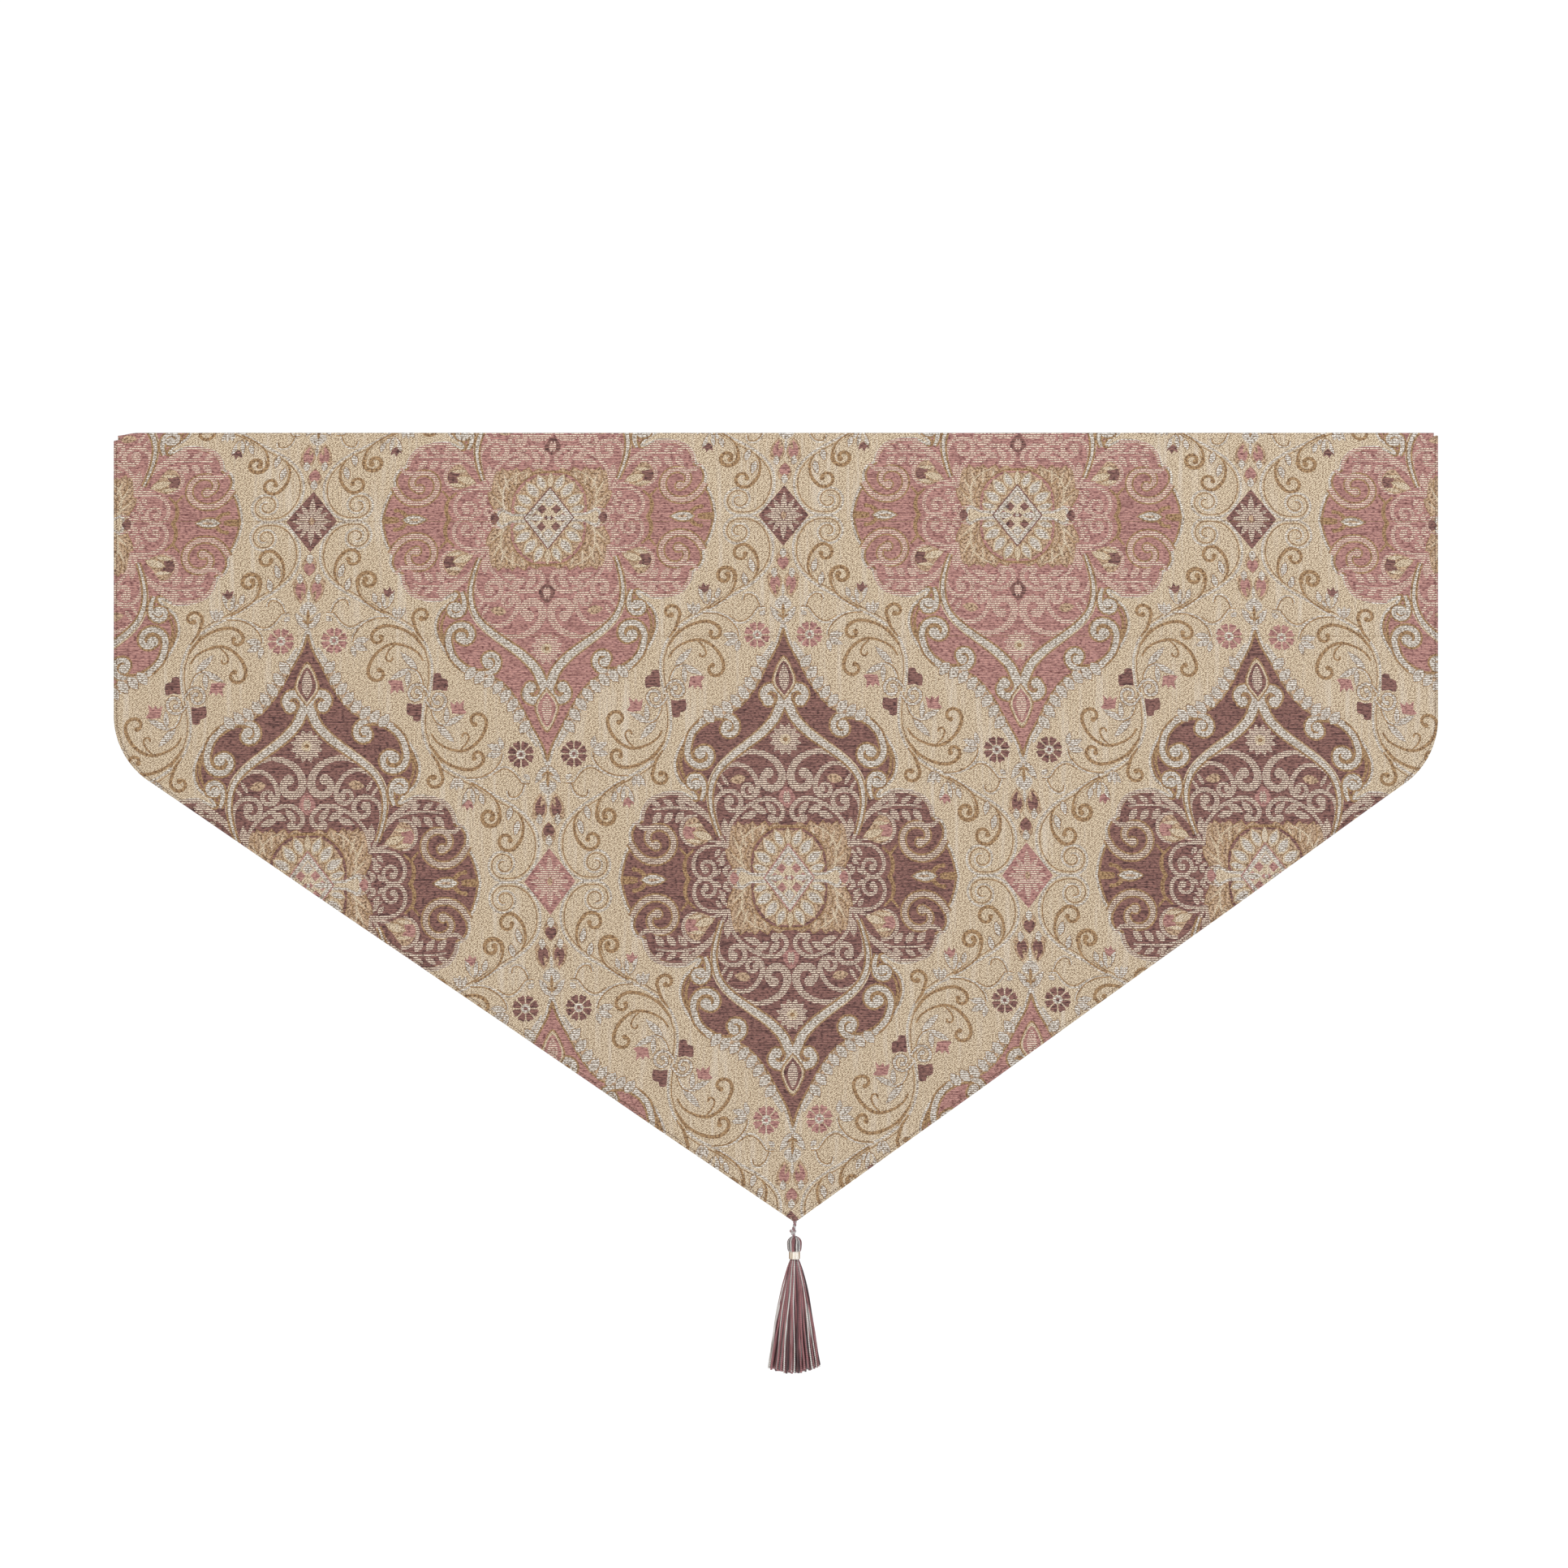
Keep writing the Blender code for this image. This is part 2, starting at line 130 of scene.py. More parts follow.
# the medallion's silhouette, with a cusp at its side, a round lobe, a notch, a shoulder and a long point
BODY = (
    (-20, -20), (160, -20), (160, 0), (158, 12), (154, 24), (148, 34), (149, 43), (146, 50), (139, 54),
    (137, 63), (130, 73), (118, 78), (104, 79), (90, 72), (83, 76), (90, 86), (100, 94), (104, 106),
    (102, 118), (94, 132), (80, 145), (64, 153), (48, 158), (36, 168), (26, 182), (14, 204), (4, 222),
    (0, 233), (-4, 222),
    (-20, 180),
)
MEDALLION = (
    Patch("silver", BODY, 4.5), Patch("tan", BODY, 2.2), Patch("main", BODY, 0),
    # side cusp
    Scroll("tan", ((138, 0), (139.5, 5), (144, 9), (149, 10)), None, (5, 4, 3), 2.4, 0),
    Scroll("tan", ((146, 0), (151, 2), (161, 1)), None, (4, 3, 6), 0, 0),
    Leaf("silver", 142, 0, 119, 0, 9, 2), Leaf("gold", 136, 0, 124, 0, 3, 0),
    # large volute of the lobe, and the hook that closes it
    Scroll("floats", ((152, 35), (147, 26.5), (139, 19.5)), (126.5, 37, 5, -385), (5, 5.4, 4), 4.2, 1.8),
    Scroll("floats", ((100, 80.5), (116, 80.5), (129, 76.5), (137.5, 67), (140, 56)), None, (3, 4, 3), 0, 0),
    Scroll("floats", ((126, 51.5), (134, 48.5), (141, 49), (147, 55)), None, (2, 4.5, 3), 0, 0),
    # contour under the lobe
    Scroll("floats", ((61, 31), (68, 46), (78, 60), (90, 70), (104, 79)), None, (2.4, 4.5, 6), 0, 0),
    # leaf spray in the lobe
    Scroll("floats", ((66, 40), (73, 52), (83, 61.5), (95, 66.5), (112, 67.5), (130, 66)), None,
        (2, 2.8, 1.8), 0, 0),
    *[Leaf("floats", x, y, x + 8, y - 11, 7, 0) for x, y in ((100, 64), (111, 63.5), (122, 63.5))],
    *[Leaf("floats", x, y, x + 10, y + 6.5, 5.5, 0) for x, y in ((98, 69), (110, 69.5), (122, 68.5))],
    # bud in its ring
    Patch("gold", ((72, 37), (80, 34), (90, 31), (99, 36), (102, 45), (96, 56), (88, 58), (82, 50)), 0),
    Patch("other", ((89, 34), (96, 35), (101, 43), (99, 50), (93, 53), (87, 51), (91, 43)), 0),
    Leaf("cream", 73, 38, 92, 44, 8, 0.8), Leaf("cream", 83, 34.5, 99, 37, 4, 0.5),
    Leaf("cream", 82, 51, 98, 50.5, 3.6, 0.5),
    Scroll("floats", ((90, 31), (98, 34), (103, 42), (102, 52), (96, 58.5), (87, 60)), None, (2, 3.6, 3), 0,
        0),
    Scroll("floats", ((61, 31), (68, 34.5), (77, 36)), None, (3.4, 3, 2), 0, 0),
    # side C-scroll
    Scroll("floats", ((58, 30), (70, 31.5), (82, 29), (89.5, 22), (92, 12)), (79.5, 10.5, 2.5, -430),
        (3, 3.8, 3.2), 3.6, 0),
    Scroll("tan", ((95, -3), (99.5, 5), (100.5, 13), (98, 21), (91, 28)), None, (4, 3.8, 2), 0, 0),
    Scroll("tan", ((97, 20), (101, 25), (105, 30)), None, (2.6, 2.6, 2), 0, 0),
    # small sprays beside it
    Leaf("floats", 59, 2, 64, 10, 5, 0), Leaf("floats", 56, 12, 64, 8, 4, 0),
    Leaf("floats", 61, 17, 68, 11, 4.4, 0),
    Leaf("floats", 66, 9, 71, 2, 4, 0),
    Leaf("floats", 61, 20, 70, 16, 4.6, 0), Leaf("floats", 66, 28, 71, 20, 5, 0),
    Leaf("floats", 59, 26, 66, 21, 3.6, 0),
    # leaves of the inner C-scroll
    Leaf("floats", 11, 60, 21, 72.5, 7, 0), Leaf("floats", 20, 61, 36, 70, 7.5, 0),
    Leaf("floats", 29, 62, 45, 56.5, 7, 0),
    Leaf("floats", 60, 39, 61, 57, 7.5, 0), Leaf("floats", 69, 40, 66, 52, 2.4, 0),
    # scroll inside the ogee
    Scroll("floats", ((61, 32), (66, 45), (70, 60), (69.5, 72), (63, 80.5), (54, 82.5)), (53.5, 71, 3.4, 320),
        (2.4, 4.6, 4.8), 4.8, 0),
    # middle scroll
    Scroll("floats", ((72, 84), (67, 96), (58, 105), (47, 108), (37, 104), (30, 95), (27.5, 85)),
        (36.5, 84, 3, 380), (3.2, 4.8, 3.2), 3.8, 0),
    Leaf("gold", 39, 95, 55, 92, 9, 0),
    Leaf("floats", 56, 87, 63, 99, 4, 0), Leaf("floats", 61, 82, 68, 93, 3.6, 0),
    # top scroll
    Scroll("floats", ((50, 114), (36, 119.5), (23, 118), (12, 112), (5.5, 103), (4.2, 94)),
        (15.5, 94, 5.5, 250), (3.4, 7.8, 7), 5.4, 0),
    Patch("other", ((0, 66), (6, 71), (8, 77), (0, 87), (-8, 77), (-6, 71)), 0),
    Leaf("floats", 1.5, 70, 1.5, 83, 4, 0),
    # the daisy
    Bloom("floats", 0, 131, 16, 12, 6.4, 15, 3, 0),
    Disc("cream", 0, 131, 5.5, 5.5), Disc("tan", 0, 131, 2.4, 2.4),
    # ogee ribbon with its cream edge and its volute
    Scroll("silver", ((66, 40), (71, 55), (74, 72), (72.5, 88), (66, 102), (54, 114), (38, 126), (22, 138),
        (10, 151), (4.5, 163)), (14, 172, 4, -290), (1.6, 8.4, 6), 5.4, 2),
    Scroll("cream", ((77, 68), (77, 86), (69.5, 103), (57, 116), (41, 128), (26, 139.5), (15, 150.5)), None,
        (0.6, 1.4, 0.6), 0, 0),
    # shoulder: a tan crescent and its three volutes
    Scroll("tan", ((95, 90), (101, 103), (101, 117), (94, 130.5), (82, 142.5), (68, 151)), None, (2, 4.4, 2),
        0, 0),
    Scroll("silver", ((83, 74), (80.5, 80), (80, 89.5)), (89, 90.5, 2.4, -330), (3, 4.4, 4.4), 4.8, 1.9),
    Scroll("silver", ((60, 154), (70, 153.5), (82, 147), (90.5, 137.5), (94, 128), (95, 118.5)),
        (80.5, 118, 2.4, -345), (4.6, 5.6, 5.2), 5.4, 2.2),
    Scroll("silver", ((70, 153.5), (59.5, 155), (50, 151)), (55.5, 142.5, 2.4, 315), (5, 5.4, 4.6), 4.8, 2.1),
    # lozenge at the point
    Patch("tan", ((0, 168), (11.5, 184), (9.5, 197), (0, 212), (-9.5, 197), (-11.5, 184)), 0),
    Patch("cream", ((0, 170), (10, 184.5), (8.2, 196.5), (0, 210), (-8.2, 196.5), (-10, 184.5)), 0),
    Patch("main", ((0, 173), (8.4, 185), (6.8, 196), (0, 206.5), (-6.8, 196), (-8.4, 185)), 0),
    Leaf("floats", 0, 177, 0, 204, 10, 0),
    # feathered border up to the point: overlapping leaves on a silver band
    Scroll("silver", ((82, 149), (66, 158), (51.5, 165.5), (40.5, 175.5), (30.5, 189.5), (19.5, 209),
        (10, 225)), None, (4, 9, 2.6), 0, 0),
    *[Leaf("silver", x, y, x + 9.5, y + 12.5, 10, 0.8)
        for x, y in ((69, 148), (60, 152), (51, 156), (42.5, 162), (35, 170), (28.5, 179), (22.5, 189), (17, 200))],
    *[Leaf("gold", x, y, x + 5, y + 1.5, 4, 0) for x, y in ((56, 156), (47, 161.5), (39, 168.5), (32, 177.5),
        (25.5, 187.5), (19.5, 198))],
    # centre wreath of lobed leaves, each with a light vein
    Patch("gold", ((-20, -20), (40, -20), (44, 0), (47, 8), (60, 26), (54, 32), (56, 44), (52, 51), (45, 47),
        (40, 52), (31, 48), (24, 52), (16, 48), (8, 51), (0, 48), (-20, 48)), 0),
    *[row
        for x, y, to_x, to_y, wide in (
            (36, 1, 55, 13, 13), (40, 9, 60, 27, 14), (43, 19, 56, 45, 13), (40, 28, 48, 53, 12),
            (34, 33, 34, 53, 12), (26, 36, 22, 53, 12), (16, 38, 10, 52, 10))
        for row in (
            Leaf("gold", x, y, to_x, to_y, wide, 1.2),
            Leaf("cream", x, y, 0.82 * to_x + 0.18 * x, 0.82 * to_y + 0.18 * y, 2.6, 0))],
    Scroll("cream", ((42, 3), (45, 14), (46, 26), (43, 37), (35, 45), (26, 49)), None, (1.6, 2, 1.2), 0, 0),
    Patch("tan", ((-20, -20), (20, -20), (34, 0), (37, 14), (36, 25), (31, 35), (24, 42), (15, 48), (0, 50),
        (-20, 50)), 0),
    Patch("main", ((-20, -20), (20, -20), (35, 2), (36.5, 14), (35, 24), (30, 34), (23, 41), (14, 46.5),
        (0, 47), (-20, 47)), 0),
    Patch("gold", ((-20, -20), (20, -20), (33, 4), (34.5, 14), (32, 24), (28, 32), (21, 39), (13, 44),
        (0, 45), (-20, 45)), 0),
    Leaf("cream", 19, 7, 35, 12, 10, 1), Leaf("cream", 16, 13, 33, 25, 12, 1),
    Leaf("cream", 11, 21, 24, 38, 12, 1),
    Leaf("cream", 5, 28, 13, 46, 10, 1),
    Leaf("cream", 0, 31, 0, 48, 6, 1),
    Leaf("silver", 22, 8, 34, 11.5, 6, 0), Leaf("silver", 18, 15, 31, 24, 8, 0),
    Leaf("silver", 13, 23, 22, 36, 8, 0),
    Leaf("silver", 6, 31, 12, 44, 6.4, 0),
    # the inner C-scroll's ribbon, over the wreath's edge
    Scroll("floats", ((58.5, 31), (58, 40), (55.5, 50), (48, 60.5), (37, 69), (24, 74.5), (13, 74),
        (5.5, 67)), (12.5, 60.5, 5, 165), (3, 4.4, 4.8), 4.2, 0),
    # trumpet at the diamond's side, with its dark mouth
    Patch("silver", ((20, -4), (36, -5), (48, -11), (51, 0), (48, 11), (36, 5), (20, 4)), 0),
    Patch("cream", ((24, -1.5), (37, -2.5), (46, -7), (49, 0), (46, 7), (37, 2.5), (24, 1.5)), 0),
    Scroll("floats", ((47, 10), (55, 7), (58.5, 0), (55, -7), (47, -10)), None, (2, 2.6, 2), 0, 0),
    Patch("other", ((48, 0), (52, 6), (56, 4), (57, 0), (56, -4), (52, -6)), 0),
    # centre diamond
    *[Patch(thread, ((-x, 0), (0, -y), (x, 0), (0, y)), 0)
        for thread, x, y in (("other", 25, 33), ("silver", 23.5, 31), ("cream", 19, 24.5))],
    *[Patch("other", ((x - 5, y), (x, y - 5), (x + 5, y), (x, y + 5)), 0)
        for x, y in ((0, 17), (7, 9), (13.5, 0), (0, 0))],
    Leaf("silver", 5, 0, 20, 0, 6, 0), Patch("silver", ((-5, 16), (0, 10), (5, 16), (0, 22)), 0),
    Patch("cream", ((-5, 6.5), (0, 0), (5, 6.5), (0, 12)), 0),
    Disc("silver", 0, 0, 2, 2),
)

FIELD = (
    # the big stem from the middle of the vine to its curl
    Stem(((115, 176), (112.3, 163), (111.5, 148), (113, 138), (118.5, 124), (129, 110)), None, (4.4, 5, 5),
        -1),
    Stem(((127, 111), (141, 101.5), (157, 94), (174, 83), (191, 73.5), (206, 62.5), (215.5, 50), (219, 36),
        (217, 22), (210, 10), (200, 3), (188, 1.5)), (186, 16.5, 3.5, -560), (5, 5, 3), 1),
    Scroll("tan", ((119, 141), (124, 133), (134, 127), (147, 124), (158, 128), (167, 137), (171.5, 148)),
        (162, 152, 3, 270), (2, 3.6, 3), 2.6, 0),
    Scroll("tan", ((146, 125), (151.5, 130), (154.5, 136)), (150.5, 138, 1.6, 230), (1.6, 2, 2), 0, 0),
    Scroll("tan", ((117, 131), (129, 116), (144, 108), (158, 106.5), (167, 112)), (162, 118, 2.6, 250),
        (2, 3.6, 3), 2.6, 0),
    Stem(((152, 97.5), (166, 98.5), (178, 104.5), (185.5, 114), (187, 121)), None, (2.8, 3, 2.4), -1),
    Leaf("silver", 186, 122, 171, 119, 7.5, 0.5), Leaf("silver", 186, 124, 172, 130, 7, 0.5),
    Leaf("silver", 187, 125, 184, 137, 5.5, 0.5),
    Scroll("tan", ((201, 65), (205.5, 55), (204.5, 43), (199, 34)), (189.5, 39, 3.4, -330), (2, 3.6, 3), 2.6,
        0),
    Leaf("silver", 201, 58, 197.5, 43.5, 6, 1), Leaf("silver", 194, 71, 191, 57.5, 6, 1),
    Scroll("tan", ((156, 94), (168, 87), (179, 77), (183, 66)), (173.3, 61.5, 3, -420), (2.4, 4.4, 3.6), 3,
        0),
    Scroll("cream", ((160, 91), (168, 86), (178, 77), (182, 66)), None, (0.8, 1.2, 0.8), 0, 0),
    Leaf("silver", 165, 84, 168, 72.5, 5.4, 0.8), Leaf("silver", 160, 89, 163, 82, 4, 0.5),
    Patch("other", ((147, 70), (150, 72.5), (152, 67.5), (154.5, 71.5), (158, 69), (157, 75), (153, 78.5),
        (149, 76)), 0),
    Leaf("silver", 156, 90, 147, 73, 5, 0.8), Leaf("silver", 156, 90, 159, 73, 5, 0.8),
    Leaf("cream", 155, 88, 153, 78, 4, 0),
    Leaf("silver", 144, 100, 136, 88, 5.4, 0.6), Leaf("silver", 145, 99, 148, 88, 5, 0.6),
    Leaf("silver", 143, 99, 142, 86.5, 3.6, 0.5),
    Scroll("tan", ((118.5, 122), (124.5, 114), (128, 104)), (120.3, 97.5, 2.4, -330), (2, 3.6, 3), 2.8, 0),
    # the leaf, bud and curl beside the middle of the vine
    Leaf("silver", 124, 150, 141, 132, 7, 0.5),
    Stem(((119, 172), (120, 160), (125, 151), (132, 148)), None, (2.8, 3, 2.4), 1),
    Leaf("silver", 130, 148, 151, 158.5, 6.4, 0.5), Leaf("silver", 133, 150, 134, 167, 5.4, 0.7),
    Patch("rose", ((139, 160), (147, 159), (153, 160.5), (149.5, 165), (150.5, 173), (146, 168.5),
        (143.5, 172), (141.5, 168), (137, 171.5), (138, 165)), 0),
    Scroll("silver", ((114, 172), (118.5, 166), (125, 163.5), (131, 167.5)), (125.3, 173.2, 3, 300),
        (2, 3, 3), 2.6, 0.8),
    Patch("burgundy", ((120, 182), (127, 183), (134, 181.5), (134.5, 192), (129, 194), (128, 198.5),
        (121.5, 198.5), (121, 190)), 0),
    # eight-petalled flower by the point
    Bloom("other", 25.5, 232, 12.8, 8, 7, 22.5, 4.6, 1),
    Disc("silver", 25.5, 232, 4.4, 4.4), Disc("other", 25.5, 232, 1.9, 1.9),
    # palmette and the lines to the neighbouring flower
    Leaf("silver", 1, 243, 12.5, 260, 7, 0.6),
    Patch("silver", ((0, 256), (7, 259), (8, 264), (4, 269), (0, 271), (-4, 269), (-8, 264), (-7, 259)), 0),
    Leaf("tan", 0, 264, 0, 247, 3.4, 0), Leaf("tan", 0, 248, 6, 253, 2.6, 0),
    Leaf("silver", 0, 283, 0, 269, 3.4, 0),
    Stem(((53, 250), (45, 245), (38, 245), (31, 250), (25, 258.5), (17.5, 259)), None, (3.4, 3.4, 2.4), 1),
    Stem(((22, 260), (25, 268), (31, 273), (37.5, 272), (39, 266)), None, (2.6, 3.4, 2.6), 1),
    Leaf("silver", 23, 251, 17, 256, 5, 0.4),
    # tulips
    Leaf("gold", 8.6, 296, 7.4, 269, 13, 0.6), Leaf("gold", 8.6, 293, 16, 288, 5, 0.5),
    Leaf("other", 8, 292, 7.4, 272, 10, 0),
    Leaf("gold", 6.6, 282, 4.4, 271, 3.6, 0), Leaf("silver", 8.6, 299, 8.6, 288, 6, 0.6),
    Leaf("gold", 0, 317, 0, 296, 13, 0.6), Leaf("other", 0, 311, 0, 296.5, 11, 0),
    Leaf("silver", 0, 319, 0, 308, 7, 0.6),
    # the small diamond
    Patch("main", ((-24.5, 352), (0, 320.5), (24.5, 352), (0, 383.5)), 0),
    *[Leaf("floats", 3 * c, 352 - 3 * s, r * c, 352 - r * s, w, 0)
        for c, s, r, w in ((0, 1, 25, 6), (1, 0, 19, 6), (0.53, 0.85, 20, 5.4), (0.87, 0.5, 18, 5.4))],
    Disc("gold", 0, 352, 2.6, 4),
)

# Drawing the chart


def spline(points, step=3.6):
    """Points on a smooth line through the given ones."""
    first = tuple(2 * a - b for a, b in zip(points[0], points[1]))
    last = tuple(2 * a - b for a, b in zip(points[-1], points[-2]))
    ends = [first, *points, last]
    line = []
    for i in range(len(points) - 1):
        a, b, c, d = ends[i : i + 4]
        count = max(2, int(math.dist(b, c) / step))
        for k in range(count):
            u = k / count
            line.append(tuple(
                0.5 * (2 * q + (r - p) * u + (2 * p - 5 * q + 4 * r - s) * u**2 + (3 * q - p - 3 * r + s) * u**3)
                for p, q, r, s in zip(a, b, c, d)
            ))
    return [*line, tuple(points[-1])]


def coil(start, curl, step=3.0):
    """Points that wind from start towards the middle of a curl: its x, y, last radius and degrees of turn."""
    x, y, end_radius, degrees = curl
    radius = math.dist(start, (x, y))
    angle = math.atan2(start[1] - y, start[0] - x)
    turn = math.radians(degrees)
    count = max(4, int(abs(turn) * (radius + end_radius) / 2 / step), int(abs(turn) / 0.5))
    points = []
    for k in range(1, count + 1):
        r = radius + (end_radius - radius) * k / count
        a = angle + turn * k / count
        points.append((x + r * math.cos(a), y + r * math.sin(a)))
    return points


def ring(x, y, across, down=None, corners=9):
    return [
        (x + across * math.cos(math.tau * k / corners),
            y + (down or across) * math.sin(math.tau * k / corners))
        for k in range(corners)
    ]


def centre_line(way, curl):
    """The points of a line and of its curl, and the share of them that comes before the curl."""
    if not curl:
        return spline(way), 0.5
    tail = coil(way[-1], curl)
    line = spline([*way, tail[1]])
    lead = min(range(len(line)), key=lambda i: math.dist(line[i], way[-1]))
    line = line[: lead + 1] + tail
    return line, lead / (len(line) - 1)


def ribbon(row, low=(-0.5, 0.0), high=(0.5, 0.0)):
    """The outline between two lines along a row's way, each at a share of its width plus a distance."""
    line, head = centre_line(row.way, row.curl)
    first, middle, last = row.wide
    sides = ([], [])
    for i, (x, y) in enumerate(line):
        before, after = line[max(0, i - 1)], line[min(len(line) - 1, i + 1)]
        dx, dy = after[0] - before[0], after[1] - before[1]
        length = math.hypot(dx, dy) or 1.0
        t = i / (len(line) - 1)
        wide = first + (middle - first) * t / head if t < head else middle + (last - middle) * (t - head) / (1 - head)
        for side, (share, more) in zip(sides, (low, high)):
            reach = share * wide + more
            side.append((x - dy / length * reach, y + dx / length * reach))
    return sides[0] + sides[1][::-1]


def leaf(x, y, to_x, to_y, wide, grow=0.0, steps=5):
    """The outline of a leaf from its foot to its point."""
    length = math.hypot(to_x - x, to_y - y)
    ux, uy = (to_x - x) / length, (to_y - y) / length
    side = [
        (k / steps * (length + 2 * grow) - grow,
            (wide / 2 + grow) * math.sin(math.pi * (k / steps) ** 0.85) ** 0.8)
        for k in range(1, steps)
    ]
    points = [(-grow, 0.0), *side, (length + grow, 0.0), *((t, -w) for t, w in reversed(side))]
    return [(x + ux * t - uy * w, y + uy * t + ux * w) for t, w in points]


def block(x, y, to_x, to_y, wide):
    """The outline of a petal with a broad notched end."""
    length = math.hypot(to_x - x, to_y - y)
    ux, uy = (to_x - x) / length, (to_y - y) / length
    corners = [(0, 0.2), (0.7, 0.5), (1, 0.4), (0.9, 0), (1, -0.4), (0.7, -0.5), (0, -0.2)]
    return [(x + ux * t * length - uy * w * wide, y + uy * t * length + ux * w * wide) for t, w in corners]


def grown(corners, distance):
    """The corners of a closed line moved outwards, with its points drawn out as a mitre."""
    points = np.array(corners, float)
    ahead, behind = np.roll(points, -1, 0) - points, points - np.roll(points, 1, 0)
    normals = [np.stack([way[:, 1], -way[:, 0]], 1) / np.hypot(*way.T)[:, None] for way in (behind, ahead)]
    mitre = (normals[0] + normals[1]) / (1 + (normals[0] * normals[1]).sum(1))[:, None]
    x, y = points.T
    turned = np.sign((x * np.roll(y, -1) - y * np.roll(x, -1)).sum())
    return [tuple(p) for p in points + turned * distance * mitre]


def outlines(rows):
    """Each row of a chart as (thread, outline), in the order in which they cover each other."""
    shapes = []
    for row in rows:
        if isinstance(row, Patch):
            corners = grown(row.corners, row.grow)
            line = corners if len(corners) == 4 else spline([*corners, corners[0]], 4.0)[:-1]
            shapes.append((row.thread, line))
        elif isinstance(row, Scroll):
            end = centre_line(row.way, row.curl)[0][-1]
            for thread, extra in (("tan", row.edge), (row.thread, 0.0))[0 if row.edge else 1 :]:
                shapes.append((thread, ribbon(row, (-0.5, -extra), (0.5, extra))))
                if row.eye:
                    shapes.append((thread, ring(*end, row.eye + extra)))
        elif isinstance(row, Stem):
            # a tan line, a cream gap and a silver line
            for thread, low in (("tan", (-0.5, 0.0)), ("cream", (-0.5, 1.2)), ("silver", (0.06, 0.0))):
                shapes.append((thread, ribbon(row, tuple(row.side * v for v in low), (row.side * 0.5, 0.0))))
        elif isinstance(row, Leaf):
            if row.edge:
                shapes.append(("tan", leaf(*row[1:6], row.edge)))
            shapes.append((row.thread, leaf(*row[1:6])))
        elif isinstance(row, Bloom):
            for k in range(row.petals):
                angle = math.radians(row.start + 360 * k / row.petals)
                c, s = math.cos(angle), math.sin(angle)
                petal = (row.x + c * row.inner, row.y + s * row.inner, row.x + c * row.reach,
                    row.y + s * row.reach, row.wide)
                shapes.append((row.thread, block(*petal) if row.blunt else leaf(*petal)))
        else:
            shapes.append((row.thread, ring(*row[1:])))
    return shapes


THREADS = ("cream", "tan", "silver", "gold", "rose", "burgundy", "silver on rose", "silver on burgundy")


def quarter_shapes():
    """The quarter repeat's shapes: a rose figure at its near corner and a burgundy one at the far corner."""
    own = {"main": "rose", "other": "burgundy", "floats": "silver on rose"}
    far = {"main": "burgundy", "other": "rose", "floats": "silver on burgundy"}
    shapes = []
    for rows in (MEDALLION, FIELD):
        drawn = outlines(rows)
        for names, turned in ((own, False), (far, True)):
            for thread, line in drawn:
                points = np.array(line)
                if turned:
                    points = np.array(HALF_REPEAT) - points
                low, high = points.min(0), points.max(0)
                if (high > 0).all() and (low < HALF_REPEAT).all():
                    shapes.append((THREADS.index(names.get(thread, thread)), points))
    return shapes


def thread_at(points, shapes):
    """The thread that shows at each point: that of the last shape which holds it."""
    thread = np.zeros(len(points), int)
    for index, line in shapes:
        low, high = line.min(0), line.max(0)
        near = np.nonzero(((points >= low) & (points <= high)).all(1))[0]
        x, y = points[near].T
        winding = np.zeros(len(near), int)
        for (ax, ay), (bx, by) in zip(line, np.roll(line, -1, 0)):
            side = (bx - ax) * (y - ay) - (x - ax) * (by - ay)
            winding += ((ay <= y) & (by > y) & (side > 0)).astype(int)
            winding -= ((ay > y) & (by <= y) & (side < 0)).astype(int)
        thread[near[winding != 0]] = index
    return thread


def triangles(points, edges):
    """Points and triangles that keep every given edge."""
    made = delaunay_2d_cdt([Vector(p) for p in points], [tuple(e) for e in edges], [], 0, 1e-4)
    return np.array([v[:] for v in made[0]]), np.array(made[2])


def inside_quarter(points):
    return ((points > 0) & (points < HALF_REPEAT)).all(1)


def between_threads(faces, thread):
    """The edges that have a different thread on either side."""
    pairs = np.sort(np.concatenate([faces[:, (0, 1)], faces[:, (1, 2)], faces[:, (2, 0)]]), 1)
    owner = np.tile(np.arange(len(faces)), 3)
    order = np.lexsort((pairs[:, 1], pairs[:, 0]))
    pairs, owner = pairs[order], owner[order]
    same = (pairs[1:] == pairs[:-1]).all(1)
    differ = thread[owner[1:]] != thread[owner[:-1]]
    return pairs[1:][same & differ]


def straighten(points, edges, slack):
    """Drops points that lie within slack of the line between their two neighbours."""
    linked = {}
    for a, b in edges:
        linked.setdefault(a, set()).add(b)
        linked.setdefault(b, set()).add(a)
    for _ in range(3):
        held = set()
        for v in sorted(linked):
            if v in held or len(linked[v]) != 2:
                continue
            a, b = linked[v]
            span = points[b] - points[a]
            length = math.hypot(*span)
            off = abs(span[0] * (points[v][1] - points[a][1]) - span[1] * (points[v][0] - points[a][0]))
            if length < 1e-6 or length > 14 or off / length > slack or b in linked[a]:
                continue
            linked[a].discard(v), linked[b].discard(v)
            linked[a].add(b), linked[b].add(a)
            linked[v] = set()
            held.update((a, b))
    return [(a, b) for a in linked for b in linked[a] if a < b]


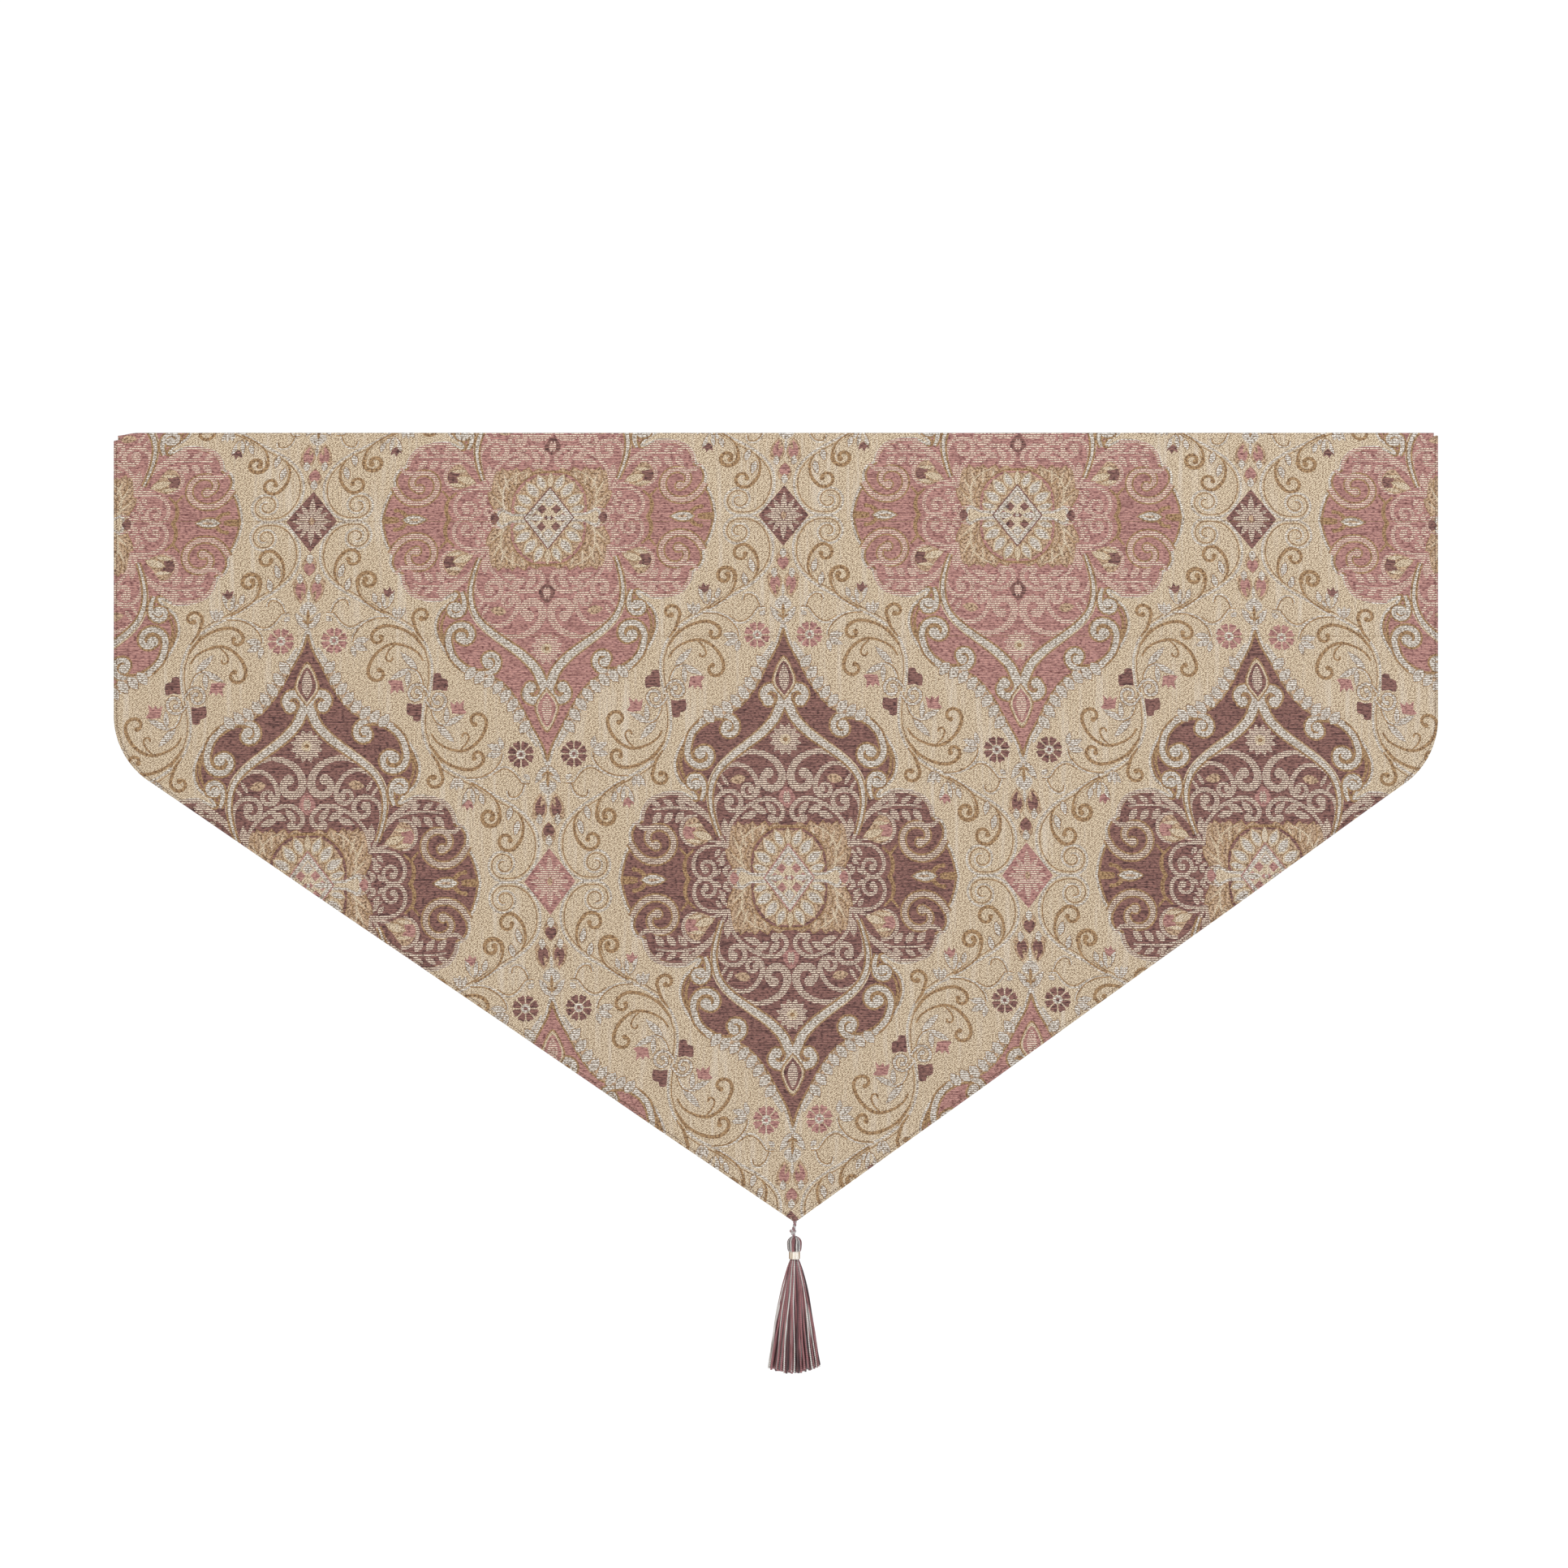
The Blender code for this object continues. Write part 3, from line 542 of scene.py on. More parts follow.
def make_quarter(slack=0.3, spacing=18.0):
    """The quarter repeat as points, triangles and each triangle's thread."""
    shapes = quarter_shapes()
    corners = [(0, 0), (HALF_REPEAT[0], 0), HALF_REPEAT, (0, HALF_REPEAT[1])]
    sides = [(0, 1), (1, 2), (2, 3), (3, 0)]
    points, edges = list(corners), list(sides)
    for _, line in shapes:
        start = len(points)
        points += [tuple(p) for p in line]
        edges += [(start + i, start + (i + 1) % len(line)) for i in range(len(line))]
    points, faces = triangles(points, edges)
    faces = faces[inside_quarter(points[faces].mean(1))]
    thread = thread_at(points[faces].mean(1), shapes)
    edges = straighten(points, between_threads(faces, thread), slack)
    used = sorted({v for edge in edges for v in edge})
    place = {v: i + 4 for i, v in enumerate(used)}
    edges = sides + [(place[a], place[b]) for a, b in edges]
    points = corners + [tuple(points[v]) for v in used]
    counts = [round(size / spacing) for size in HALF_REPEAT]
    taken = np.array(points)
    for i in range(counts[0] + 1):
        for j in range(counts[1] + 1):
            spot = (HALF_REPEAT[0] * i / counts[0], HALF_REPEAT[1] * j / counts[1])
            on_edge = i in (0, counts[0]) or j in (0, counts[1])
            if np.hypot(*(taken - spot).T).min() > (3.0 if on_edge else 5.0):
                points.append(spot)
    points, faces = triangles(points, edges)
    # what lies along a side lies on it, so that the mirrored quarters meet
    for axis, size in enumerate(HALF_REPEAT):
        for side in (0.0, size):
            points[np.abs(points[:, axis] - side) < 0.02, axis] = side
            faces = faces[~(points[faces][:, :, axis] == side).all(1)]
    faces = faces[inside_quarter(points[faces].mean(1))]
    return points, faces, thread_at(points[faces].mean(1), shapes)


# The sheet


def smooth(t):
    t = np.clip(t, 0.0, 1.0)
    return t * t * (3 - 2 * t)


def lie(points):
    """Where points of the chart lie on the hung sheet: metres across and down."""
    u = points[:, 0] / (2 * HALF_REPEAT[0])
    v = points[:, 1] / (2 * HALF_REPEAT[1])
    first = np.maximum(v, LIE_FIRST)
    beyond = v - first
    laid = []
    for factors in (LIE_ACROSS, LIE_DOWN):
        value = sum(f * u**i * first**j for f, (i, j) in zip(factors, LIE_POWERS))
        slope = sum(f * j * u**i * first ** (j - 1) for f, (i, j) in zip(factors, LIE_POWERS) if j)
        laid.append((value + beyond * slope) / 1000)
    stretched = np.clip((v - TIP_STRETCH_FROM) / (TIP_STRETCH_TO - TIP_STRETCH_FROM), 0.0, 1.0)
    laid[1] += TIP_STRETCH / 1000 * stretched
    return np.stack(laid, 1)


def fold_offset(x, depth):
    """How far the face layer stands back from flat. It is flat as far as the lower row of stitching."""
    offset = np.zeros_like(x)
    for middle, half, rise, full in FOLDS:
        across = np.minimum(np.abs(x - middle) / half, 1.0)
        down = smooth((depth - STITCH_ROWS[1]) / (full - STITCH_ROWS[1]))
        offset -= rise * down * 0.5 * (1 + np.cos(math.pi * across))
    return offset


def sheet_middle(x, depth):
    """The sheet's middle surface, at x and at a depth that goes on above the fold and down the back."""
    past = np.maximum(FOLD_TOP - depth, 0.0)
    angle = np.minimum(past / FOLD_RADIUS, math.pi)
    down_back = np.maximum(past - FOLD_LENGTH, 0.0)
    z = np.where(past > 0, -FOLD_TOP + FOLD_RADIUS * np.sin(angle) - down_back, -depth)
    t = (FOLD_TOP + down_back - STITCH_ROWS[0]) / (STITCH_ROWS[1] - STITCH_ROWS[0])
    rise = POCKET_RISE + POCKET_RISE_CHANGE * np.sin(POCKET_WAVES * math.tau * x / CLOTH_WIDTH + 0.6)
    bulge = np.where((t > 0) & (t < 1), rise * (1 - np.abs(2 * np.clip(t, 0, 1) - 1) ** POCKET_FULLNESS), 0.0)
    y = FACE_Y + FOLD_RADIUS * (1 - np.cos(angle)) + np.where(past > FOLD_LENGTH, bulge, 0.0)
    y = y + np.where(past > 0, 0.0, fold_offset(x, depth))
    fall = TOP_CORNER_DROP * (1 - smooth((x + CLOTH_WIDTH / 2) / TOP_CORNER_LENGTH))
    return np.stack([x, y, z - fall * np.clip(1 + z / STITCH_ROWS[0], 0, 1)], 1)


def sheet_surface(flat, side):
    """The sheet's outer (side 1) or inner (side -1) surface at the flat points (x, depth)."""
    x, depth = flat.T
    step = 0.0002
    across = sheet_middle(x + step, depth) - sheet_middle(x - step, depth)
    down = sheet_middle(x, depth + step) - sheet_middle(x, depth - step)
    normal = np.cross(down, across)
    normal /= np.linalg.norm(normal, axis=1, keepdims=True)
    middle = sheet_middle(x, depth)
    half = np.full(len(x), SHEET_THICKNESS / 2)
    if side > 0:
        for row in STITCH_ROWS:
            half *= 1 - SEAM_PINCH * np.exp(-(((-middle[:, 2] - row) / SEAM_WIDTH) ** 2))
    return middle + side * half[:, None] * normal


def outline_cuts():
    """The straight cuts, as (point, outward direction) in x and depth, that give the face layer its outline."""
    cuts = [((0.0, HEADING_END), (0.0, -1.0))]
    for side in (-1, 1):
        half = CLOTH_WIDTH / 2
        slope = math.atan2(TIP_DEPTH - SIDE_DEPTHS[side], abs(TIP_X - side * half))
        turn = math.pi / 2 - slope
        start = SIDE_DEPTHS[side] - CORNER_RADIUS * math.tan(turn / 2)
        cuts.append(((side * half, 0.0), (side * 1.0, 0.0)))
        steps = 10
        for k in range(1, steps):
            angle = turn * k / steps
            point = (
                side * (half - CORNER_RADIUS * (1 - math.cos(angle))),
                start + CORNER_RADIUS * math.sin(angle),
            )
            cuts.append((point, (side * math.cos(angle), math.sin(angle))))
        cuts.append(((TIP_X, TIP_DEPTH), (side * math.sin(slope), math.cos(slope))))
    return cuts


def guide_lines():
    """Depths at which the sheet is given a row of points: round the fold and beside the stitching."""
    turn = [FOLD_TOP - FOLD_LENGTH * k / 3 for k in range(4)]
    front = [row + shift for row in STITCH_ROWS for shift in (-GUIDE_SPACING, 0.0, GUIDE_SPACING)]
    back = [2 * FOLD_TOP - FOLD_LENGTH - row for row in STITCH_ROWS]
    return turn + front + back


def cut_mesh(points, faces, thread, cuts, lines):
    """Trims and scores the given triangles as a bmesh in the flat plane."""
    mesh = bpy.data.meshes.new("cutting")
    flat = np.column_stack([points, np.zeros(len(points))])
    mesh.from_pydata(flat.tolist(), [], faces.tolist())
    mesh.polygons.foreach_set("material_index", thread.astype(np.int32))
    bm = bmesh.new()
    bm.from_mesh(mesh)
    bpy.data.meshes.remove(mesh)

    def cut(place, direction, clear, chosen=None):
        geom = list(bm.verts) + list(bm.edges) + list(bm.faces) if chosen is None else chosen
        bmesh.ops.bisect_plane(
            bm, geom=geom, dist=2e-6, plane_co=(*place, 0.0), plane_no=(*direction, 0.0), clear_outer=clear
        )

    for place, direction in cuts:
        cut(place, direction, True)
    for depth in lines:
        cut((0.0, depth), (0.0, 1.0), False)
    for side in (-1, 1):
        above = [f for f in bm.faces if f.calc_center_median().y < FOLD_TOP]
        around = list({v for f in above for v in f.verts}) + list({e for f in above for e in f.edges}) + above
        cut((side * (CLOTH_WIDTH / 2 - HEADING_INSET), 0.0), (side * 1.0, 0.0), True, around)
    bmesh.ops.triangulate(bm, faces=[f for f in bm.faces if len(f.verts) > 3])
    return bm


def flat_sheet():
    """The whole sheet, flat and trimmed, with the repeat woven in: a bmesh whose y is the depth."""
    points, faces, thread = make_quarter()
    all_points, all_faces, all_thread = [], [], []
    count = 0
    for i in QUARTERS_ACROSS:
        for j in QUARTERS_DOWN:
            tile = points.copy()
            tile[:, 0] = HALF_REPEAT[0] * i + (tile[:, 0] if i % 2 == 0 else HALF_REPEAT[0] - tile[:, 0])
            tile[:, 1] = HALF_REPEAT[1] * j + (tile[:, 1] if j % 2 == 0 else HALF_REPEAT[1] - tile[:, 1])
            all_points.append(tile)
            all_faces.append((faces if (i + j) % 2 == 0 else faces[:, ::-1]) + count)
            all_thread.append(thread)
            count += len(points)
    points = np.concatenate(all_points)
    faces, thread = np.concatenate(all_faces), np.concatenate(all_thread)
    _, first, back = np.unique(np.round(points, 3), axis=0, return_index=True, return_inverse=True)
    points, faces = lie(points[first]), back.reshape(-1)[faces]
    cuts, lines = outline_cuts(), guide_lines()
    kept, crossed = np.ones(len(faces), bool), np.zeros(len(faces), bool)
    for place, direction in cuts:
        past = ((points - place) @ np.array(direction))[faces]
        kept &= past.min(1) < 0
        crossed |= past.max(1) > -1e-6
    faces, thread, crossed = faces[kept], thread[kept], crossed[kept]
    low, high = points[faces][:, :, 1].min(1), points[faces][:, :, 1].max(1)
    touched = crossed | (
        (np.abs(points[faces][:, :, 0]).max(1) > CLOTH_WIDTH / 2 - HEADING_INSET - 1e-4) & (low < FOLD_TOP)
    )
    for depth in lines:
        touched |= (low < depth + 1e-6) & (high > depth - 1e-6)

    def part(chosen):
        used, numbered = np.unique(faces[chosen], return_inverse=True)
        return points[used], numbered.reshape(-1, 3), thread[chosen]

    bm = cut_mesh(*part(touched), cuts, lines)
    whole = bpy.data.meshes.new("whole")
    inner_points, inner_faces, inner_thread = part(~touched)
    whole.from_pydata(
        np.column_stack([inner_points, np.zeros(len(inner_points))]).tolist(), [], inner_faces.tolist()
    )
    whole.polygons.foreach_set("material_index", inner_thread.astype(np.int32))
    bm.from_mesh(whole)
    bpy.data.meshes.remove(whole)
    bmesh.ops.remove_doubles(bm, verts=bm.verts[:], dist=2e-6)
    return bm


def rim_loop(bm):
    """The open edge's points, in order."""
    nexts = {}
    for edge in bm.edges:
        if edge.is_boundary:
            loop = edge.link_loops[0]
            nexts[loop.vert] = loop.link_loop_next.vert
    start = min(nexts, key=lambda v: (v.co.y, v.co.x))
    loop, vert = [start], nexts[start]
    while vert is not start:
        loop.append(vert)
        vert = nexts[vert]
    if len(loop) != len(nexts):
        raise RuntimeError(f"the sheet's edge has {len(nexts)} points, and one round of it {len(loop)}")
    return loop


def inside_line(points, line):
    inside = np.zeros(len(points), bool)
    x, y = points.T
    for (ax, ay), (bx, by) in zip(line, np.roll(line, -1, 0)):
        crosses = (ay > y) != (by > y)
        if crosses.any():
            inside[crosses] ^= x[crosses] < ax + (y[crosses] - ay) / (by - ay) * (bx - ax)
    return inside


def make_sheet():
    bm = flat_sheet()
    for face in bm.faces:
        face.smooth = True
    if sum(face.normal.z for face in bm.faces) < 0:
        bmesh.ops.reverse_faces(bm, faces=bm.faces[:])
    rim = rim_loop(bm)
    line = np.array([v.co[:2] for v in rim])
    along = np.roll(line, -1, 0) - np.roll(line, 1, 0)
    along /= np.linalg.norm(along, axis=1, keepdims=True)
    outward = np.stack([along[:, 1], -along[:, 0]], 1)
    flat_of = {v: tuple(v.co[:2]) for v in bm.verts}

    # the rim: one row of points on the middle surface, a little proud, and one on the inner surface
    middle_row = [bm.verts.new() for _ in rim]
    inner_row = [bm.verts.new() for _ in rim]
    material = {}
    for edge in bm.edges:
        if edge.is_boundary:
            loop = edge.link_loops[0]
            material[loop.vert] = loop.face.material_index
    count = len(rim)
    for rows in ((rim, middle_row), (middle_row, inner_row)):
        for i in range(count):
            k = (i + 1) % count
            face = bm.faces.new((rows[0][k], rows[0][i], rows[1][i], rows[1][k]))
            face.material_index = material[rim[i]]
            face.smooth = True

    # the inner surface
    xs = np.arange(-INNER_REACH, INNER_REACH + 0.001, INNER_SPACING)
    depths = [*np.arange(HEADING_END + 0.006, FOLD_TOP - FOLD_LENGTH - 0.003, INNER_HEADING_SPACING)]
    depths += [FOLD_TOP - FOLD_LENGTH, FOLD_TOP - FOLD_LENGTH * 2 / 3, FOLD_TOP - FOLD_LENGTH / 3, FOLD_TOP]
    depths += [*np.arange(0.02, TIP_DEPTH, INNER_SPACING)]
    grid = np.array([(x, d) for d in depths for x in xs])
    shrunk = line - INNER_MARGIN * outward
    grid = grid[inside_line(grid, shrunk)]
    points, faces = triangles(
        [tuple(1000 * p) for p in [*line, *grid]], [(i, (i + 1) % count) for i in range(count)]
    )
    points = points / 1000
    if len(points) != count + len(grid):
        raise RuntimeError("the inner surface's points don't match the sheet's edge")
    faces = faces[inside_line(points[faces].mean(1), line)]
    inner = inner_row + [bm.verts.new() for _ in grid]
    reverse = len(THREADS)
    for a, b, c in faces.tolist():
        face = bm.faces.new((inner[c], inner[b], inner[a]))
        face.material_index = reverse
        face.smooth = True

    outer = list(flat_of)
    for vert, co in zip(outer, sheet_surface(np.array([flat_of[v] for v in outer]), 1)):
        vert.co = co
    for vert, co in zip(middle_row, sheet_middle(*(line + RIM_ROUND * outward).T)):
        vert.co = co
    for vert, co in zip(inner, sheet_surface(points, -1)):
        vert.co = co

    sheet_of = dict(flat_of)
    for row in (middle_row, inner_row):
        sheet_of.update(zip(row, map(tuple, line)))
    sheet_of.update(zip(inner[count:], map(tuple, grid)))
    uv = bm.loops.layers.uv.new("OFBake")
    length = TIP_DEPTH - HEADING_END
    for face in bm.faces:
        low, high = BAKE_INNER if face.material_index == reverse else BAKE_OUTER
        for loop in face.loops:
            x, depth = sheet_of[loop.vert]
            across = BAKE_MARGIN + (1 - 2 * BAKE_MARGIN) * (x / CLOTH_WIDTH + 0.5)
            loop[uv].uv = (across, high - (high - low) * (depth - HEADING_END) / length)
    return bm


# Materials


def linear(hex_colour):
    """An sRGB hex colour as linear RGBA."""
    parts = [int(hex_colour[i : i + 2], 16) / 255 for i in (1, 3, 5)]
    return tuple(p / 12.92 if p <= 0.04045 else ((p + 0.055) / 1.055) ** 2.4 for p in parts) + (1.0,)


def add_node(tree, kind, settings=None, **sockets):
    """Adds a node, with its settings, and its sockets given as values or as another node's output."""
    node = tree.nodes.new(kind)
    for key, value in (settings or {}).items():
        setattr(node, key, value)
    for key, value in sockets.items():
        name = key.replace("_", " ")
        socket = node.inputs[int(name[3:]) if name.startswith("in ") else name]
        if isinstance(value, bpy.types.NodeSocket):
            tree.links.new(value, socket)
        else:
            socket.default_value = value
    return node


def new_material(name):
    material = bpy.data.materials.new(name)
    material.use_nodes = True
    material.node_tree.nodes.clear()
    return material, material.node_tree


TWILL_PITCH, TWILL_ANGLE = 0.0017, 38


def wave_scale(pitch):
    """The scale at which a wave texture's bands repeat at a pitch in metres."""
    return math.tau / (20 * pitch)


def woven(name, light, dark, grain=(650.0, 650.0), spread=0.1, centre=0.48, streaks=0.0, shimmer=0.0,
        twill=0.0, rib=0.0, pitch=0.0017, gap=None, gap_share=0.3, rough=0.8, sheen=0.1, bump=0.3):
    """A woven surface in object coordinates. Its thread shows light and dark grains, scattered along and across."""
    material, tree = new_material(name)
    place = add_node(tree, "ShaderNodeTexCoord").outputs["Object"]

    def noise(across, down, detail=2.0):
        scaled = add_node(tree, "ShaderNodeMapping", {}, Vector=place, Scale=(across, 1.0, down)).outputs[0]
        return add_node(tree, "ShaderNodeTexNoise", {}, Vector=scaled, Scale=1.0, Detail=detail,
            Roughness=0.6).outputs[0]

    def ramp(value, low, high, to_low=0.0, to_high=1.0):
        return add_node(tree, "ShaderNodeMapRange", {}, Value=value, From_Min=low, From_Max=high,
            To_Min=to_low, To_Max=to_high).outputs[0]

    def mix(amount, first, second, blend="MIX"):
        return add_node(tree, "ShaderNodeMix", {"data_type": "RGBA", "blend_type": blend}, in_0=amount,
            in_6=first, in_7=second).outputs[2]

    def add(value, factor, other):
        return add_node(tree, "ShaderNodeMath", {"operation": "MULTIPLY_ADD"}, in_0=value, in_1=factor,
            in_2=other).outputs[0]

    height = noise(*grain)
    colour = mix(ramp(height, centre - spread, centre + spread), linear(dark), linear(light))
    if streaks:
        # weft threads that sink or darken for 10 to 40 mm
        colour = mix(ramp(noise(48.0, 620.0, 1.0), 0.53, 0.66, 0.0, streaks), colour, linear(dark))
    if shimmer:
        # faint brighter stripes down the warp: painted sheen
        colour = mix(ramp(noise(140.0, 9.0), 0.52, 0.72, 0.0, shimmer), colour, linear("#F2E8DC"))
    if twill:
        # the twill's diagonal line
        turned = add_node(tree, "ShaderNodeMapping", {}, Vector=place,
            Rotation=(0.0, math.radians(TWILL_ANGLE), 0.0)).outputs[0]
        wave = add_node(tree, "ShaderNodeTexWave", {"bands_direction": "Z"}, Vector=turned,
            Scale=wave_scale(TWILL_PITCH), Distortion=1.2, Detail=2.0, Detail_Scale=1.0)
        colour = mix(twill, colour, wave.outputs["Color"], "MULTIPLY")
        height = add(wave.outputs["Fac"], 0.8, height)
    # ribs, with the gap colour between them: on most materials that colour is painted shade in the furrows
    if rib:
        wave = add_node(tree, "ShaderNodeTexWave", {"bands_direction": "Z"}, Vector=place,
            Scale=wave_scale(pitch), Distortion=1.1, Detail=2.0, Detail_Scale=2.5)
        crest = ramp(wave.outputs["Fac"], gap_share - 0.18, gap_share + 0.22, 1 - rib, 1.0)
        colour = mix(crest, linear(gap or dark), colour)
        height = add(wave.outputs["Fac"], 1.2, height)
    raised = add_node(tree, "ShaderNodeBump", {}, Strength=bump, Distance=0.0006, Height=height).outputs[0]
    shader = add_node(tree, "ShaderNodeBsdfPrincipled", {}, Base_Color=colour, Roughness=rough,
        Sheen_Weight=sheen, Sheen_Roughness=0.5, Specular_IOR_Level=0.25, Normal=raised)
    add_node(tree, "ShaderNodeOutputMaterial", {}, Surface=shader.outputs[0])
    return material


def cloth_materials(colours):
    return [
        # matt cotton twill ground, with a fine diagonal line, a grain of about 1.4 mm and faint stripes of painted
        # sheen
        woven("cream_cotton_twill", colours.cream, "#8C7156", grain=(700.0, 760.0), shimmer=0.35, twill=0.35,
            rough=0.85),
        # tan cotton outline thread, with painted shade where it dips
        woven("tan_cotton_weft", colours.tan, "#6A4C34", grain=(480.0, 520.0), rib=0.45, pitch=0.0019,
            gap="#56402C", rough=0.85),
        # satin-woven rayon: short grey and white floats with some gloss. Part of its light grain is painted glints,
        # and the dark lines between the floats are painted shade
        woven("silver_rayon_satin", colours.silver, "#6E5C4A", grain=(480.0, 700.0), rib=0.75, pitch=0.0021,
            gap="#7A6248", gap_share=0.32, rough=0.5),
        woven("old_gold_cotton_twill", colours.gold, "#664A36", grain=(420.0, 560.0), spread=0.11, twill=0.2),
        # chenille weft: furry rows 1.7 mm apart, with painted shade in the furrows between them, and streaks
        woven("rose_chenille", colours.rose, "#6E4240", grain=(280.0, 640.0), centre=0.44, streaks=0.6,
            rib=0.6, gap="#683F40", rough=0.95, sheen=0.3, bump=0.6),
        woven("burgundy_chenille", colours.burgundy, "#452C2C", grain=(280.0, 640.0), centre=0.44,
            streaks=0.7, rib=0.6, gap="#40282A", rough=0.95, sheen=0.3, bump=0.6),
        # rayon floats over the chenille, which shows between them, darkened by painted shade
        woven("silver_floats_on_rose", colours.floats, "#6E5C4A", centre=0.46, rib=1.0, pitch=0.0021,
            gap="#9A6660", gap_share=0.5, rough=0.6, bump=0.5),
        woven("silver_floats_on_burgundy", colours.floats, "#6E5C4A", centre=0.46, rib=1.0, pitch=0.0021,
            gap="#6A4640", gap_share=0.38, rough=0.6, bump=0.5),
        # the reverse: cotton with the figure's threads floating loosely
        woven("brocade_reverse", "#C4AE92", "#84685C", spread=0.14, streaks=0.55, rib=0.25, pitch=0.002,
            gap="#8A5A52", rough=0.9),
    ]


def plain(name, hex_colour, rough, glow=0.0):
    material, tree = new_material(name)
    shader = add_node(tree, "ShaderNodeBsdfPrincipled", {}, Base_Color=linear(hex_colour), Roughness=rough,
                      Emission_Strength=glow)
    add_node(tree, "ShaderNodeOutputMaterial", {}, Surface=shader.outputs[0])
    return material


# Pieces


def add_piece(name, bm, materials):
    mesh = bpy.data.meshes.new(name)
    bm.to_mesh(mesh)
    bm.free()
    for material in materials:
        mesh.materials.append(material)
    piece = bpy.data.objects.new(name, mesh)
    bpy.context.scene.collection.objects.link(piece)
    return piece


def add_light(name, size, power, place, target, colour):
    light = bpy.data.lights.new(name, "AREA")
    light.shape = "RECTANGLE"
    light.size, light.size_y = size
    light.energy = power
    light.color = linear(colour)[:3]
    lamp = bpy.data.objects.new(name, light)
    lamp.location = place
    lamp.rotation_euler = (Vector(target) - Vector(place)).to_track_quat("-Z", "Y").to_euler()
    bpy.context.scene.collection.objects.link(lamp)


PHOTO_SIDE = 1932
METRES_A_PIXEL = 0.000794
ORIGIN_PIXEL = (956, 533)  # the middle of the top edge in the photograph
CAMERA_DISTANCE, SENSOR_WIDTH = 5.0, 36.0
FLOOR_Z, WALL_TOP, BACKDROP_HALF_WIDTH, FLOOR_FRONT, BACKDROP_BEND = -1.32, 3.0, 4.0, -4.0, 0.6
WALL_Y = 8.0  # far enough back to be behind a camera that looks from behind
BACKDROP_PAINT, BACKDROP_GLOW = "#080808", 1.04
CLOTH_MIDDLE, TOP_EDGE = (0.0, 0.0, -0.4), (0.0, 0.0, 0.0)
LAMPS = (
    # name, size, watts, place, target, colour
    ("key", (1.8, 1.8), 65.0, (2.0, -2.9, 1.2), CLOTH_MIDDLE, "#F5F9FF"),
    ("fill", (2.4, 2.4), 33.0, (-2.2, -3.0, 0.2), CLOTH_MIDDLE, "#FFF7EA"),
    ("top", (2.6, 0.5), 9.0, (0.0, -0.7, 1.3), TOP_EDGE, "#FFFFFF"),
)
SKY_COLOUR, SKY_STRENGTH = "#F4F5F7", 0.32


class ValanceColours(bpy.types.PropertyGroup):
    cream: bpy.props.StringProperty(name="Cream ground", description="sRGB hex colour of the ground",
        default="#F0DCBE")
    tan: bpy.props.StringProperty(name="Tan outline", description="sRGB hex colour of the outline thread",
        default="#B8966F")
    silver: bpy.props.StringProperty(name="Silver", description="sRGB hex colour of the satin thread",
        default="#F2ECE3")
    gold: bpy.props.StringProperty(name="Old gold", description="sRGB hex colour of the leaves",
        default="#D4B596")
    floats: bpy.props.StringProperty(name="Floats", description="sRGB hex colour of the floats on chenille",
        default="#F2E0CB")
    rose: bpy.props.StringProperty(name="Rose", description="sRGB hex colour of the rose chenille",
        default="#CC9A90")
    burgundy: bpy.props.StringProperty(name="Burgundy", description="sRGB hex colour of the dark chenille",
        default="#9E7268")


class ValanceSizes(bpy.types.PropertyGroup):
    skirt_yarns: bpy.props.IntProperty(name="Skirt yarns", description="Yarns in the tassel's skirt",
        default=210, min=20, max=400)
    yarn_radius: bpy.props.FloatProperty(name="Yarn radius", description="Half the thickness of a skirt yarn",
        default=0.00098, unit="LENGTH", subtype="DISTANCE", precision=5)
    stitch_pitch: bpy.props.FloatProperty(name="Stitch pitch", description="From one seam stitch to the next",
        default=0.0032, unit="LENGTH", subtype="DISTANCE", precision=4)
    stitch_length: bpy.props.FloatProperty(name="Stitch length", description="What shows of a seam stitch",
        default=0.0024, unit="LENGTH", subtype="DISTANCE", precision=4)
    hem_pitch: bpy.props.FloatProperty(name="Hem stitch pitch", description="From one hem stitch to the next",
        default=0.0024, unit="LENGTH", subtype="DISTANCE", precision=4)


